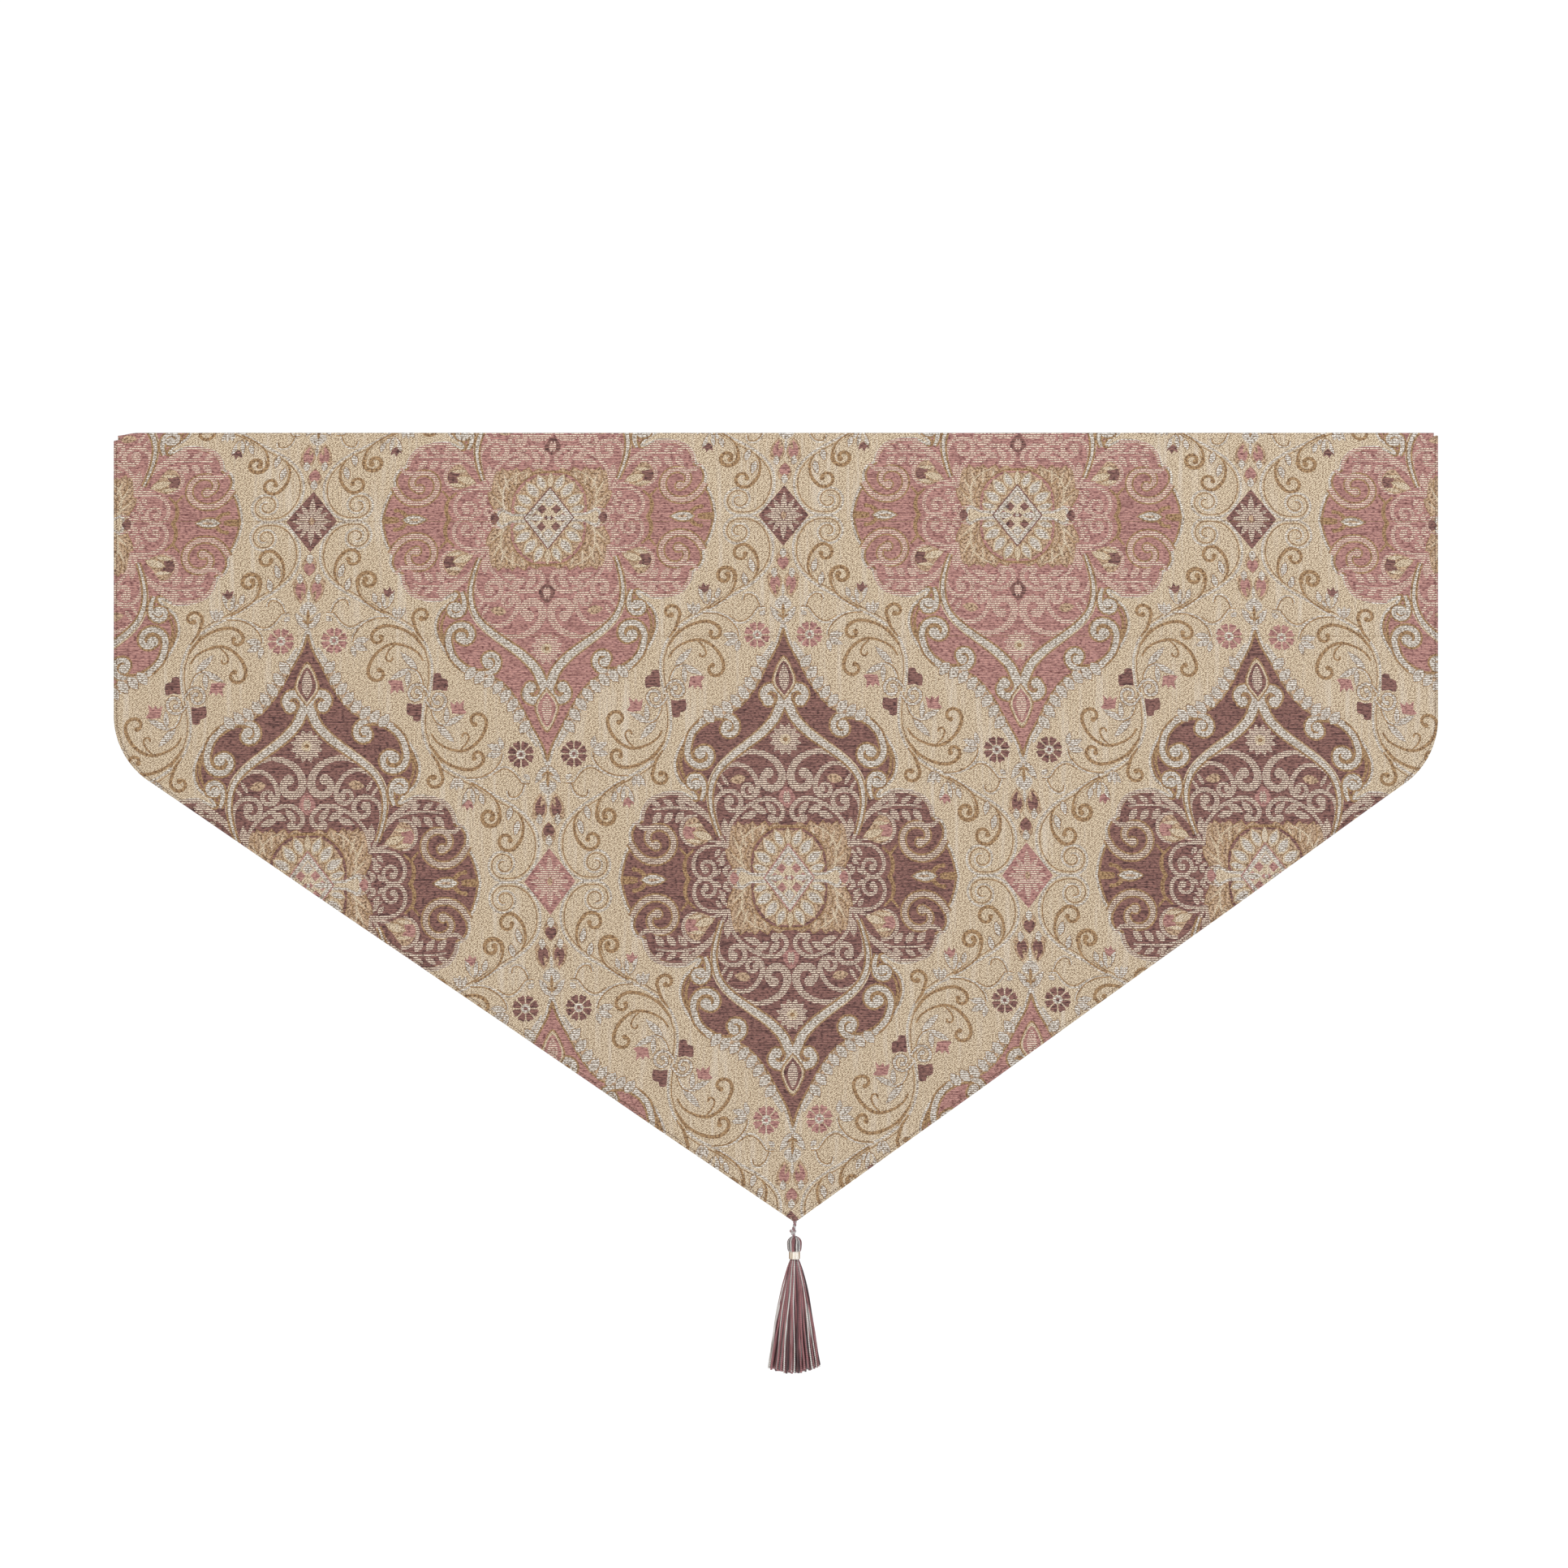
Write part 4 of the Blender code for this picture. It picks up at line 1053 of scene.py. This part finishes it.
class VALANCE_OT_stage(bpy.types.Operator):
    """Makes the white backdrop, the lights and the camera."""

    bl_idname = "valance.stage"
    bl_label = "Stage"

    def execute(self, context):
        bm = bmesh.new()
        profile = ((FLOOR_FRONT, FLOOR_Z), (WALL_Y, FLOOR_Z), (WALL_Y, WALL_TOP))
        start, corner, end = (bm.verts.new((-BACKDROP_HALF_WIDTH, y, z)) for y, z in profile)
        edges = [bm.edges.new((start, corner)), bm.edges.new((corner, end))]
        made = bmesh.ops.extrude_edge_only(bm, edges=edges)
        moved = [v for v in made["geom"] if isinstance(v, bmesh.types.BMVert)]
        bmesh.ops.translate(bm, verts=moved, vec=(2 * BACKDROP_HALF_WIDTH, 0, 0))
        crease = [v for v in bm.verts if (v.co - Vector((v.co.x, *profile[1]))).length < 1e-6]
        fold = [e for e in bm.edges if all(v in crease for v in e.verts)]
        bmesh.ops.bevel(bm, geom=fold, offset=BACKDROP_BEND, segments=12, profile=0.5, affect="EDGES",
            material=-1)
        for face in bm.faces:
            face.smooth = True
        # white paper, equally bright all over. Lamps that whiten it so evenly would burn out the thin edges
        # before it, so it gives off its own light
        paper = plain("lit_white_backdrop", BACKDROP_PAINT, 0.9, glow=BACKDROP_GLOW)
        backdrop = add_piece("backdrop", bm, [paper])
        middle = [(PHOTO_SIDE / 2 - pixel) * METRES_A_PIXEL for pixel in ORIGIN_PIXEL]
        context.scene.view_settings.view_transform = "Standard"
        camera = bpy.data.cameras.new("camera")
        camera.sensor_width = SENSOR_WIDTH
        camera.lens = SENSOR_WIDTH * CAMERA_DISTANCE / (PHOTO_SIDE * METRES_A_PIXEL)
        holder = bpy.data.objects.new("camera", camera)
        holder.location = (middle[0], -CAMERA_DISTANCE, -middle[1])
        holder.rotation_euler = (math.pi / 2, 0.0, 0.0)
        context.scene.collection.objects.link(holder)
        context.scene.camera = holder
        for lamp in LAMPS:
            add_light(*lamp)
        world = bpy.data.worlds.new("studio")
        context.scene.world = world
        world.use_nodes = True
        sky = world.node_tree.nodes["Background"].inputs
        sky["Color"].default_value = linear(SKY_COLOUR)
        sky["Strength"].default_value = SKY_STRENGTH
        return {"FINISHED"}


class VALANCE_OT_cloth(bpy.types.Operator):
    """Makes the brocade sheet with its turned-over heading."""

    bl_idname = "valance.cloth"
    bl_label = "Brocade cloth"

    def execute(self, context):
        piece = add_piece("brocade_sheet", make_sheet(), cloth_materials(context.scene.valance_colours))
        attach(piece, "root")
        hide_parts("valance_cloth")
        return {"FINISHED"}


def strand_mesh(strands, sides=0, steps=1):
    """A mesh of round threads. A strand is (points, radii or one radius, material number, closed)."""
    curve = bpy.data.curves.new("strands", "CURVE")
    curve.dimensions = "3D"
    curve.bevel_depth = 1.0
    curve.bevel_resolution = sides
    curve.resolution_u = steps
    curve.use_fill_caps = True
    for index in range(max(strand[2] for strand in strands) + 1):
        curve.materials.append(bpy.data.materials.new(f"strand_{index}"))
    for points, radii, material, closed in strands:
        line = curve.splines.new("POLY")
        line.points.add(len(points) - 1)
        line.points.foreach_set("co", [c for p in points for c in (*p, 1.0)])
        line.points.foreach_set("radius", radii if hasattr(radii, "__len__") else [radii] * len(points))
        line.material_index = material
        line.use_cyclic_u = closed
        line.use_smooth = True
    holder = bpy.data.objects.new("strands", curve)
    bpy.context.scene.collection.objects.link(holder)
    mesh = bpy.data.meshes.new_from_object(holder.evaluated_get(bpy.context.evaluated_depsgraph_get()))
    bpy.data.objects.remove(holder)
    for material in list(curve.materials):
        bpy.data.materials.remove(material)
    bpy.data.curves.remove(curve)
    return mesh


def strand_piece(name, strands, materials, sides=0):
    mesh = strand_mesh(strands, sides)
    bm = bmesh.new()
    bm.from_mesh(mesh)
    bpy.data.meshes.remove(mesh)
    bmesh.ops.remove_doubles(bm, verts=bm.verts[:], dist=1e-7)
    bmesh.ops.recalc_face_normals(bm, faces=bm.faces[:])
    for face in bm.faces:
        face.smooth = True
    return add_piece(name, bm, materials)


def twisted_yarn(name, colour, furrow, rough=0.45, turns=64.0):
    """Rayon yarn: two plies whose furrow winds round it, glossy along the plies. The furrow's darker colour is
    painted shade, and the yarn's tone also varies at random along it.
    """
    material, tree = new_material(name)
    place = add_node(tree, "ShaderNodeUVMap", {"uv_map": "UVMap"}).outputs[0]
    split = add_node(tree, "ShaderNodeSeparateXYZ", {}, Vector=place).outputs
    along = add_node(tree, "ShaderNodeMath", {"operation": "MULTIPLY_ADD"}, in_0=split[0], in_1=turns,
        in_2=split[1])
    wave = add_node(tree, "ShaderNodeMath", {"operation": "PINGPONG"}, in_0=along.outputs[0], in_1=0.5)
    crest = add_node(tree, "ShaderNodeMapRange", {"interpolation_type": "SMOOTHSTEP"}, Value=wave.outputs[0],
                     From_Min=0.02, From_Max=0.26).outputs[0]
    position = add_node(tree, "ShaderNodeTexCoord").outputs["Object"]
    stretched = add_node(tree, "ShaderNodeMapping", {}, Vector=position,
        Scale=(900.0, 900.0, 60.0)).outputs[0]
    noise = add_node(tree, "ShaderNodeTexNoise", {}, Vector=stretched, Scale=1.0, Detail=2.0).outputs[0]
    # darker in the furrow as painted shade, and lighter and darker at random along the yarn
    furrow_shade_and_tone = add_node(tree, "ShaderNodeMath", {"operation": "MULTIPLY"}, in_0=crest, in_1=noise).outputs[0]
    furrow_shade_and_tone = add_node(tree, "ShaderNodeMapRange", {}, Value=furrow_shade_and_tone, From_Min=0.1, From_Max=0.6).outputs[0]
    mixed = add_node(tree, "ShaderNodeMix", {"data_type": "RGBA"}, in_0=furrow_shade_and_tone, in_6=linear(furrow),
                     in_7=linear(colour)).outputs[2]
    raised = add_node(tree, "ShaderNodeBump", {}, Strength=0.5, Distance=0.0003, Height=crest).outputs[0]
    shader = add_node(tree, "ShaderNodeBsdfPrincipled", {}, Base_Color=mixed, Roughness=rough,
        Sheen_Weight=0.2, Normal=raised)
    add_node(tree, "ShaderNodeOutputMaterial", {}, Surface=shader.outputs[0])
    return material


def yarn_materials():
    return [
        twisted_yarn("rose_rayon_yarn", "#B4787C", "#58302F"),
        twisted_yarn("silver_rayon_yarn", "#F6F2EC", "#9A9290", rough=0.35),
        twisted_yarn("grey_rayon_yarn", "#948C8C", "#463E40"),
        # the darkest yarns have the colour of the shade among the rose yarns: painted shade
        twisted_yarn("darkest_yarn_painted_shade", "#5E383C", "#24181A"),
    ]


def route_point(t):
    """A point on a smooth curve through the cord's route, for t from 0 to 1."""
    points = [Vector((TIP_X + aside, 0.0, -TIP_DEPTH - below)) for aside, below in CORD_ROUTE]
    points = [2 * points[0] - points[1], *points, 2 * points[-1] - points[-2]]
    along = t * (len(CORD_ROUTE) - 1)
    i = min(int(along), len(CORD_ROUTE) - 2)
    u = along - i
    a, b, c, d = points[i : i + 4]
    return 0.5 * (2 * b + (c - a) * u + (2 * a - 5 * b + 4 * c - d) * u**2 + (3 * b - a - 3 * c + d) * u**3)


def cord_strands():
    """Two plies twisted round the route, and the knot in them."""
    strands = []
    steps = 56
    for ply in range(2):
        points = []
        for k in range(steps + 1):
            centre = route_point(k / steps)
            angle = math.tau * (-centre.z - TIP_DEPTH) / CORD_TURN + math.pi * ply
            points.append(centre + CORD_PLY_OFFSET * Vector((math.cos(angle), math.sin(angle), 0.0)))
        strands.append((points, CORD_PLY_RADIUS, ply, False))
    middle = Vector((TIP_X - KNOT_ASIDE, 0.0, -TIP_DEPTH - KNOT_BELOW))
    corners = 60
    spread = (KNOT_RADIUS - 0.0008) / 3
    for ply in range(2):
        shift = KNOT_PLY_SHIFT * (1 if ply else -1)
        loop = []
        for k in range(corners):
            a = math.tau * k / corners
            loop.append(middle + Vector((
                spread * (math.sin(a) + 2 * math.sin(2 * a)) + shift * math.cos(3 * a),
                -KNOT_DEPTH_SHARE * spread * math.sin(3 * a) + shift * math.sin(3 * a),
                spread * (math.cos(a) - 2 * math.cos(2 * a)),
            )))
        strands.append((loop, KNOT_PLY_RADIUS, ply, True))
    return strands


def head_profile(t):
    """The head's radius and depth, from its top (0) to where it goes in under the collar (1)."""
    wide = HEAD_RADIUS * math.sin(math.pi / 2 * min(1.0, 0.06 + t * 1.9)) ** 0.7
    if t > 0.5:
        wide *= 1 - 0.12 * (2 * t - 1) ** 2
    if t > 0.94:
        wide = NECK_RADIUS + 0.0004
    return wide, HEAD_TOP + 0.0007 + (COLLAR_TOP + 0.0006 - HEAD_TOP) * t ** 1.15


def head_strands():
    """The yarns that run over the tassel's head, down to the neck under the collar."""
    strands = []
    count = len(HEAD_YARNS)
    for rib, letter in enumerate(HEAD_YARNS):
        turn = math.pi + math.tau * rib / count
        points, radii = [], []
        for k in range(17):
            wide, down = head_profile(k / 16)
            wide -= 0.0007
            sway = turn + 0.05 * math.sin(5 * k / 16 + rib)
            points.append((HEAD_X + wide * math.cos(sway), wide * math.sin(sway), -down))
            radii.append(max(0.00022, min(0.00084, math.tau * wide / count * 0.58)))
        strands.append((points, radii, YARN_KINDS[letter], False))
    return strands


def skirt_strands(sizes):
    """The skirt's yarns, from inside the neck to an uneven hem."""
    rng = random.Random(7)
    count = sizes.skirt_yarns
    spots = [(math.sqrt((i + 0.5) / count), i * GOLDEN_ANGLE % math.tau) for i in range(count)]
    surface = sorted((spot for spot in spots if spot[0] > SKIRT_SURFACE), key=lambda spot: spot[1])
    order = {spot: SKIRT_ORDER[k % len(SKIRT_ORDER)] for k, spot in enumerate(surface)}
    strands = []
    for index, spot in enumerate(spots):
        reach, angle = spot
        across, deep = reach * math.cos(angle), reach * math.sin(angle)
        kind = YARN_KINDS[order.get(spot) or rng.choice("rrrbbg")]
        end_x = across + rng.uniform(-0.04, 0.04)
        if index % 13 == 5 and reach > 0.8:
            # a silver yarn that crosses its neighbours
            kind, end_x = YARN_KINDS["s"], across + rng.choice((-0.3, 0.3))
        end_y = deep + rng.uniform(-0.06, 0.06)
        size = math.hypot(end_x, end_y)
        if size > 1:
            end_x, end_y = end_x / size, end_y / size
        end = SKIRT_END - SKIRT_EDGE_LIFT * across * across - rng.uniform(0.0, 0.0035)
        end -= SKIRT_EDGE_SLOPE * max(0.0, across)
        phase, sway = rng.uniform(0, math.tau), rng.uniform(0.0004, 0.0016)
        thick = sizes.yarn_radius * (SILVER_SHARE if kind == YARN_KINDS["s"] else 1.0)
        points, radii = [], []
        steps = 22
        start = NECK_END - 0.0016
        for k in range(steps + 1):
            t = (k / steps) ** 1.2
            depth = start + (end - start) * t
            fall = max(0.0, (depth - NECK_END) / (end - NECK_END)) ** SKIRT_SPREAD
            root_x, hem_x = HEAD_X + SKIRT_ROOT_RADIUS * across, SKIRT_X + (SKIRT_HALF_WIDTH - 0.001) * end_x
            x = (1 - fall) * root_x + fall * hem_x
            y = (1 - fall) * SKIRT_ROOT_RADIUS * deep + fall * (SKIRT_HALF_DEPTH - 0.0008) * end_y
            swing = sway * math.sin(math.pi * t)
            x += swing * math.sin(5.0 * t + phase)
            y += 0.5 * swing * math.cos(4.0 * t + phase)
            points.append((x, y, -depth))
            radii.append(THIN_YARN_RADIUS + (thick - THIN_YARN_RADIUS) * min(1.0, fall * 2.2) ** 0.8)
        radii[-1] *= 1.12
        strands.append((points, radii, kind, False))
    return strands


def make_core(bm):
    """The core under the head's yarns, with the neck below it. Its near-black colour is painted shade that shows
    between the yarns.
    """
    profile = [(0.0, HEAD_TOP + 0.0008)]
    for k in range(1, 9):
        wide, down = head_profile(k / 8)
        profile.append((wide - CORE_GAP, down + 0.0003))
    profile += [(NECK_RADIUS - 0.0002, NECK_END), (0.0, NECK_END)]
    spin_profile(bm, profile)


def spin_profile(bm, profile, closed=False, steps=36):
    """Turns a profile of (radius, depth) round the tassel's axis."""
    verts = [bm.verts.new((radius, 0.0, -depth)) for radius, depth in profile]
    edges = [bm.edges.new(pair) for pair in zip(verts, verts[1:])]
    if closed:
        edges.append(bm.edges.new((verts[-1], verts[0])))
    bmesh.ops.spin(bm, geom=verts + edges, cent=(0, 0, 0), axis=(0, 0, 1), angle=math.tau, steps=steps,
        use_merge=True)
    bmesh.ops.remove_doubles(bm, verts=bm.verts[:], dist=1e-6)
    bmesh.ops.recalc_face_normals(bm, faces=bm.faces[:])
    bmesh.ops.translate(bm, verts=bm.verts[:], vec=(HEAD_X, 0, 0))
    for face in bm.faces:
        face.smooth = True


def collar_strands():
    """The satin thread, wound round the neck in close turns."""
    thread, around = COLLAR_THREAD_RADIUS, 26
    steps = COLLAR_TURNS * around
    top, end = COLLAR_TOP + thread, COLLAR_END - thread
    points = []
    for k in range(steps + 1):
        angle = math.tau * k / around
        radius = COLLAR_RADIUS - thread - (0.0003 if k < 3 or k > steps - 3 else 0.0)
        points.append((HEAD_X + radius * math.cos(angle), radius * math.sin(angle),
            -top - (end - top) * k / steps))
    return [(points, thread, 0, False)]


def stitches(starts, step, rise, radius):
    """A stitch on the face from each start (x, depth), by a step, that comes up by so much along its way."""
    rows = []
    for share, up in rise:
        flat = starts + share * step
        surface = sheet_surface(flat, 1)
        outward = surface - sheet_middle(*flat.T)
        rows.append(surface + up * outward / np.linalg.norm(outward, axis=1, keepdims=True))
    return [([tuple(row[k]) for row in rows], radius, 0, False) for k in range(len(starts))]


def seam_strands(sizes):
    """Lockstitches along both rows, on the face and on the turned-over heading."""
    reach = CLOTH_WIDTH / 2 - HEADING_INSET - SEAM_END_MARGIN
    across = np.arange(-reach, reach - sizes.stitch_pitch, sizes.stitch_pitch)
    strands = []
    for row in STITCH_ROWS:
        for depth in (row, 2 * FOLD_TOP - FOLD_LENGTH - row):
            starts = np.stack([across, np.full(len(across), depth)], 1)
            strands += stitches(starts, np.array([sizes.stitch_length, 0.0]), SEAM_STITCH, SEAM_THREAD_RADIUS)
    return strands


def hem_route(side, inset):
    """Points on the face just inside its side, corner and slope, from the top to the tip."""
    half = CLOTH_WIDTH / 2
    slope = math.atan2(TIP_DEPTH - SIDE_DEPTHS[side], abs(TIP_X - side * half))
    turn = math.pi / 2 - slope
    start = SIDE_DEPTHS[side] - CORNER_RADIUS * math.tan(turn / 2)
    points = [(side * (half - inset), HEM_END_MARGIN)]
    for k in range(9):
        angle = turn * k / 8
        reach = CORNER_RADIUS - inset
        points.append((side * (half - CORNER_RADIUS + reach * math.cos(angle)),
            start + reach * math.sin(angle)))
    tip_depth = TIP_DEPTH - inset / math.cos(slope) - HEM_END_MARGIN * math.tan(slope)
    return [*points, (TIP_X + side * HEM_END_MARGIN, tip_depth)]


def hem_strands(sizes):
    """Short slanting stitches that catch the turned edge, just inside it."""
    strands = []
    for side in (-1, 1):
        route = np.array(hem_route(side, HEM_INSET))
        steps = np.diff(route, axis=0)
        lengths = np.concatenate([[0], np.cumsum(np.linalg.norm(steps, axis=1))])
        along = np.arange(0.001, lengths[-1] - sizes.hem_pitch, sizes.hem_pitch)
        starts = np.stack([np.interp(along, lengths, route[:, i]) for i in (0, 1)], 1)
        ahead = (steps / np.linalg.norm(steps, axis=1, keepdims=True))[np.searchsorted(lengths, along) - 1]
        inward = np.stack([-side * ahead[:, 1], side * ahead[:, 0]], 1)
        step = HEM_STITCH_LENGTH * ahead + HEM_STITCH_SLANT * inward
        strands += stitches(starts, step, HEM_STITCH, HEM_THREAD_RADIUS)
    return strands


class VALANCE_OT_seams(bpy.types.Operator):
    """Sews the two rows of stitching that hold the turned-over heading, and the hem's stitches."""

    bl_idname = "valance.seams"
    bl_label = "Rows of stitching"

    def execute(self, context):
        sizes = context.scene.valance_sizes
        thread = twisted_yarn("tan_sewing_thread", "#A88558", "#6E5230", rough=0.6, turns=3.0)
        hem_thread = twisted_yarn("brown_overlock_thread", "#80593C", "#4C3626", rough=0.7, turns=3.0)
        pieces = [
            strand_piece("seam_stitches", seam_strands(sizes), [thread]),
            strand_piece("hem_stitches", hem_strands(sizes), [hem_thread]),
        ]
        for piece in pieces:
            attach(piece, "root")
        return {"FINISHED"}


class VALANCE_OT_cord(bpy.types.Operator):
    """Makes the twisted cord and its knot."""

    bl_idname = "valance.cord"
    bl_label = "Twisted cord"

    def execute(self, context):
        plies = [
            twisted_yarn("grey_rayon_ply", "#E2DCD8", "#6E6466", turns=30.0),
            twisted_yarn("rose_rayon_ply", "#B88A8E", "#5A343A", turns=30.0),
        ]
        piece = strand_piece("hanging_cord", cord_strands(), plies, sides=2)
        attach(piece, "root")
        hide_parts("tassel_cord")
        return {"FINISHED"}


class VALANCE_OT_tassel(bpy.types.Operator):
    """Makes the tassel's head and its skirt of yarns."""

    bl_idname = "valance.tassel"
    bl_label = "Tassel"

    def execute(self, context):
        yarns = yarn_materials()
        bm = bmesh.new()
        make_core(bm)
        # the core's near-black colour is painted shade in the gaps between the head's yarns
        core = add_piece("tassel_core", bm, [plain("near_black_core_painted_shade", "#3A2426", 0.9)])
        head = strand_piece("tassel_head_yarns", head_strands(), yarns, sides=2)
        skirt = strand_piece("tassel_skirt_yarns", skirt_strands(context.scene.valance_sizes), yarns, sides=1)
        for piece in (core, head, skirt):
            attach(piece, "root")
            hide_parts("tassel")
        return {"FINISHED"}


class VALANCE_OT_collar(bpy.types.Operator):
    """Winds the satin thread round the tassel's neck."""

    bl_idname = "valance.collar"
    bl_label = "Collar"

    def execute(self, context):
        # the satin's colour runs in vertical light and dark bands down the collar: painted highlights and painted
        # shade that stand in for its sheen
        satin = woven("cream_satin_painted_sheen_bands", "#FAF4EA", "#B08F68", grain=(330.0, 12.0), spread=0.08, rough=0.3,
            sheen=0.0, bump=0.0)
        winding = strand_piece("collar_winding", collar_strands(), [satin], sides=1)
        bm = bmesh.new()
        inner, outer = NECK_RADIUS + 0.0003, COLLAR_RADIUS - 0.00035
        spin_profile(bm, [(inner, COLLAR_TOP + 0.0003), (outer, COLLAR_TOP + 0.0003),
            (outer, COLLAR_END - 0.0003), (inner, COLLAR_END - 0.0003)], closed=True)
        band = add_piece("collar_band", bm, [plain("tan_cotton_binding", "#A8875A", 0.8)])
        for piece in (winding, band):
            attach(piece, "root")
            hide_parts("tassel_collar")
        return {"FINISHED"}


class VALANCE_PT_panel(bpy.types.Panel):
    """Lists the valance's sizes, colours and pieces."""

    bl_idname = "VALANCE_PT_panel"
    bl_label = "Ascot valance"
    bl_space_type = "VIEW_3D"
    bl_region_type = "UI"
    bl_category = "Valance"

    def draw(self, context):
        for group, kind in ((context.scene.valance_sizes, ValanceSizes),
            (context.scene.valance_colours, ValanceColours)):
            for name in kind.__annotations__:
                self.layout.prop(group, name)
        for operator in OPERATORS:
            self.layout.operator(operator.bl_idname)


OPERATORS = (VALANCE_OT_stage, VALANCE_OT_cloth, VALANCE_OT_seams, VALANCE_OT_cord, VALANCE_OT_tassel,
    VALANCE_OT_collar)
CLASSES = (ValanceSizes, ValanceColours, *OPERATORS, VALANCE_PT_panel)


def register():
    for cls in CLASSES:
        bpy.utils.register_class(cls)
    bpy.types.Scene.valance_sizes = bpy.props.PointerProperty(type=ValanceSizes)
    bpy.types.Scene.valance_colours = bpy.props.PointerProperty(type=ValanceColours)


def unregister():
    del bpy.types.Scene.valance_colours
    del bpy.types.Scene.valance_sizes
    for cls in reversed(CLASSES):
        bpy.utils.unregister_class(cls)


def main():
    register()
    for operator in OPERATORS:
        group, name = operator.bl_idname.split(".")
        getattr(getattr(bpy.ops, group), name)()


if __name__ == "__main__":
    main()
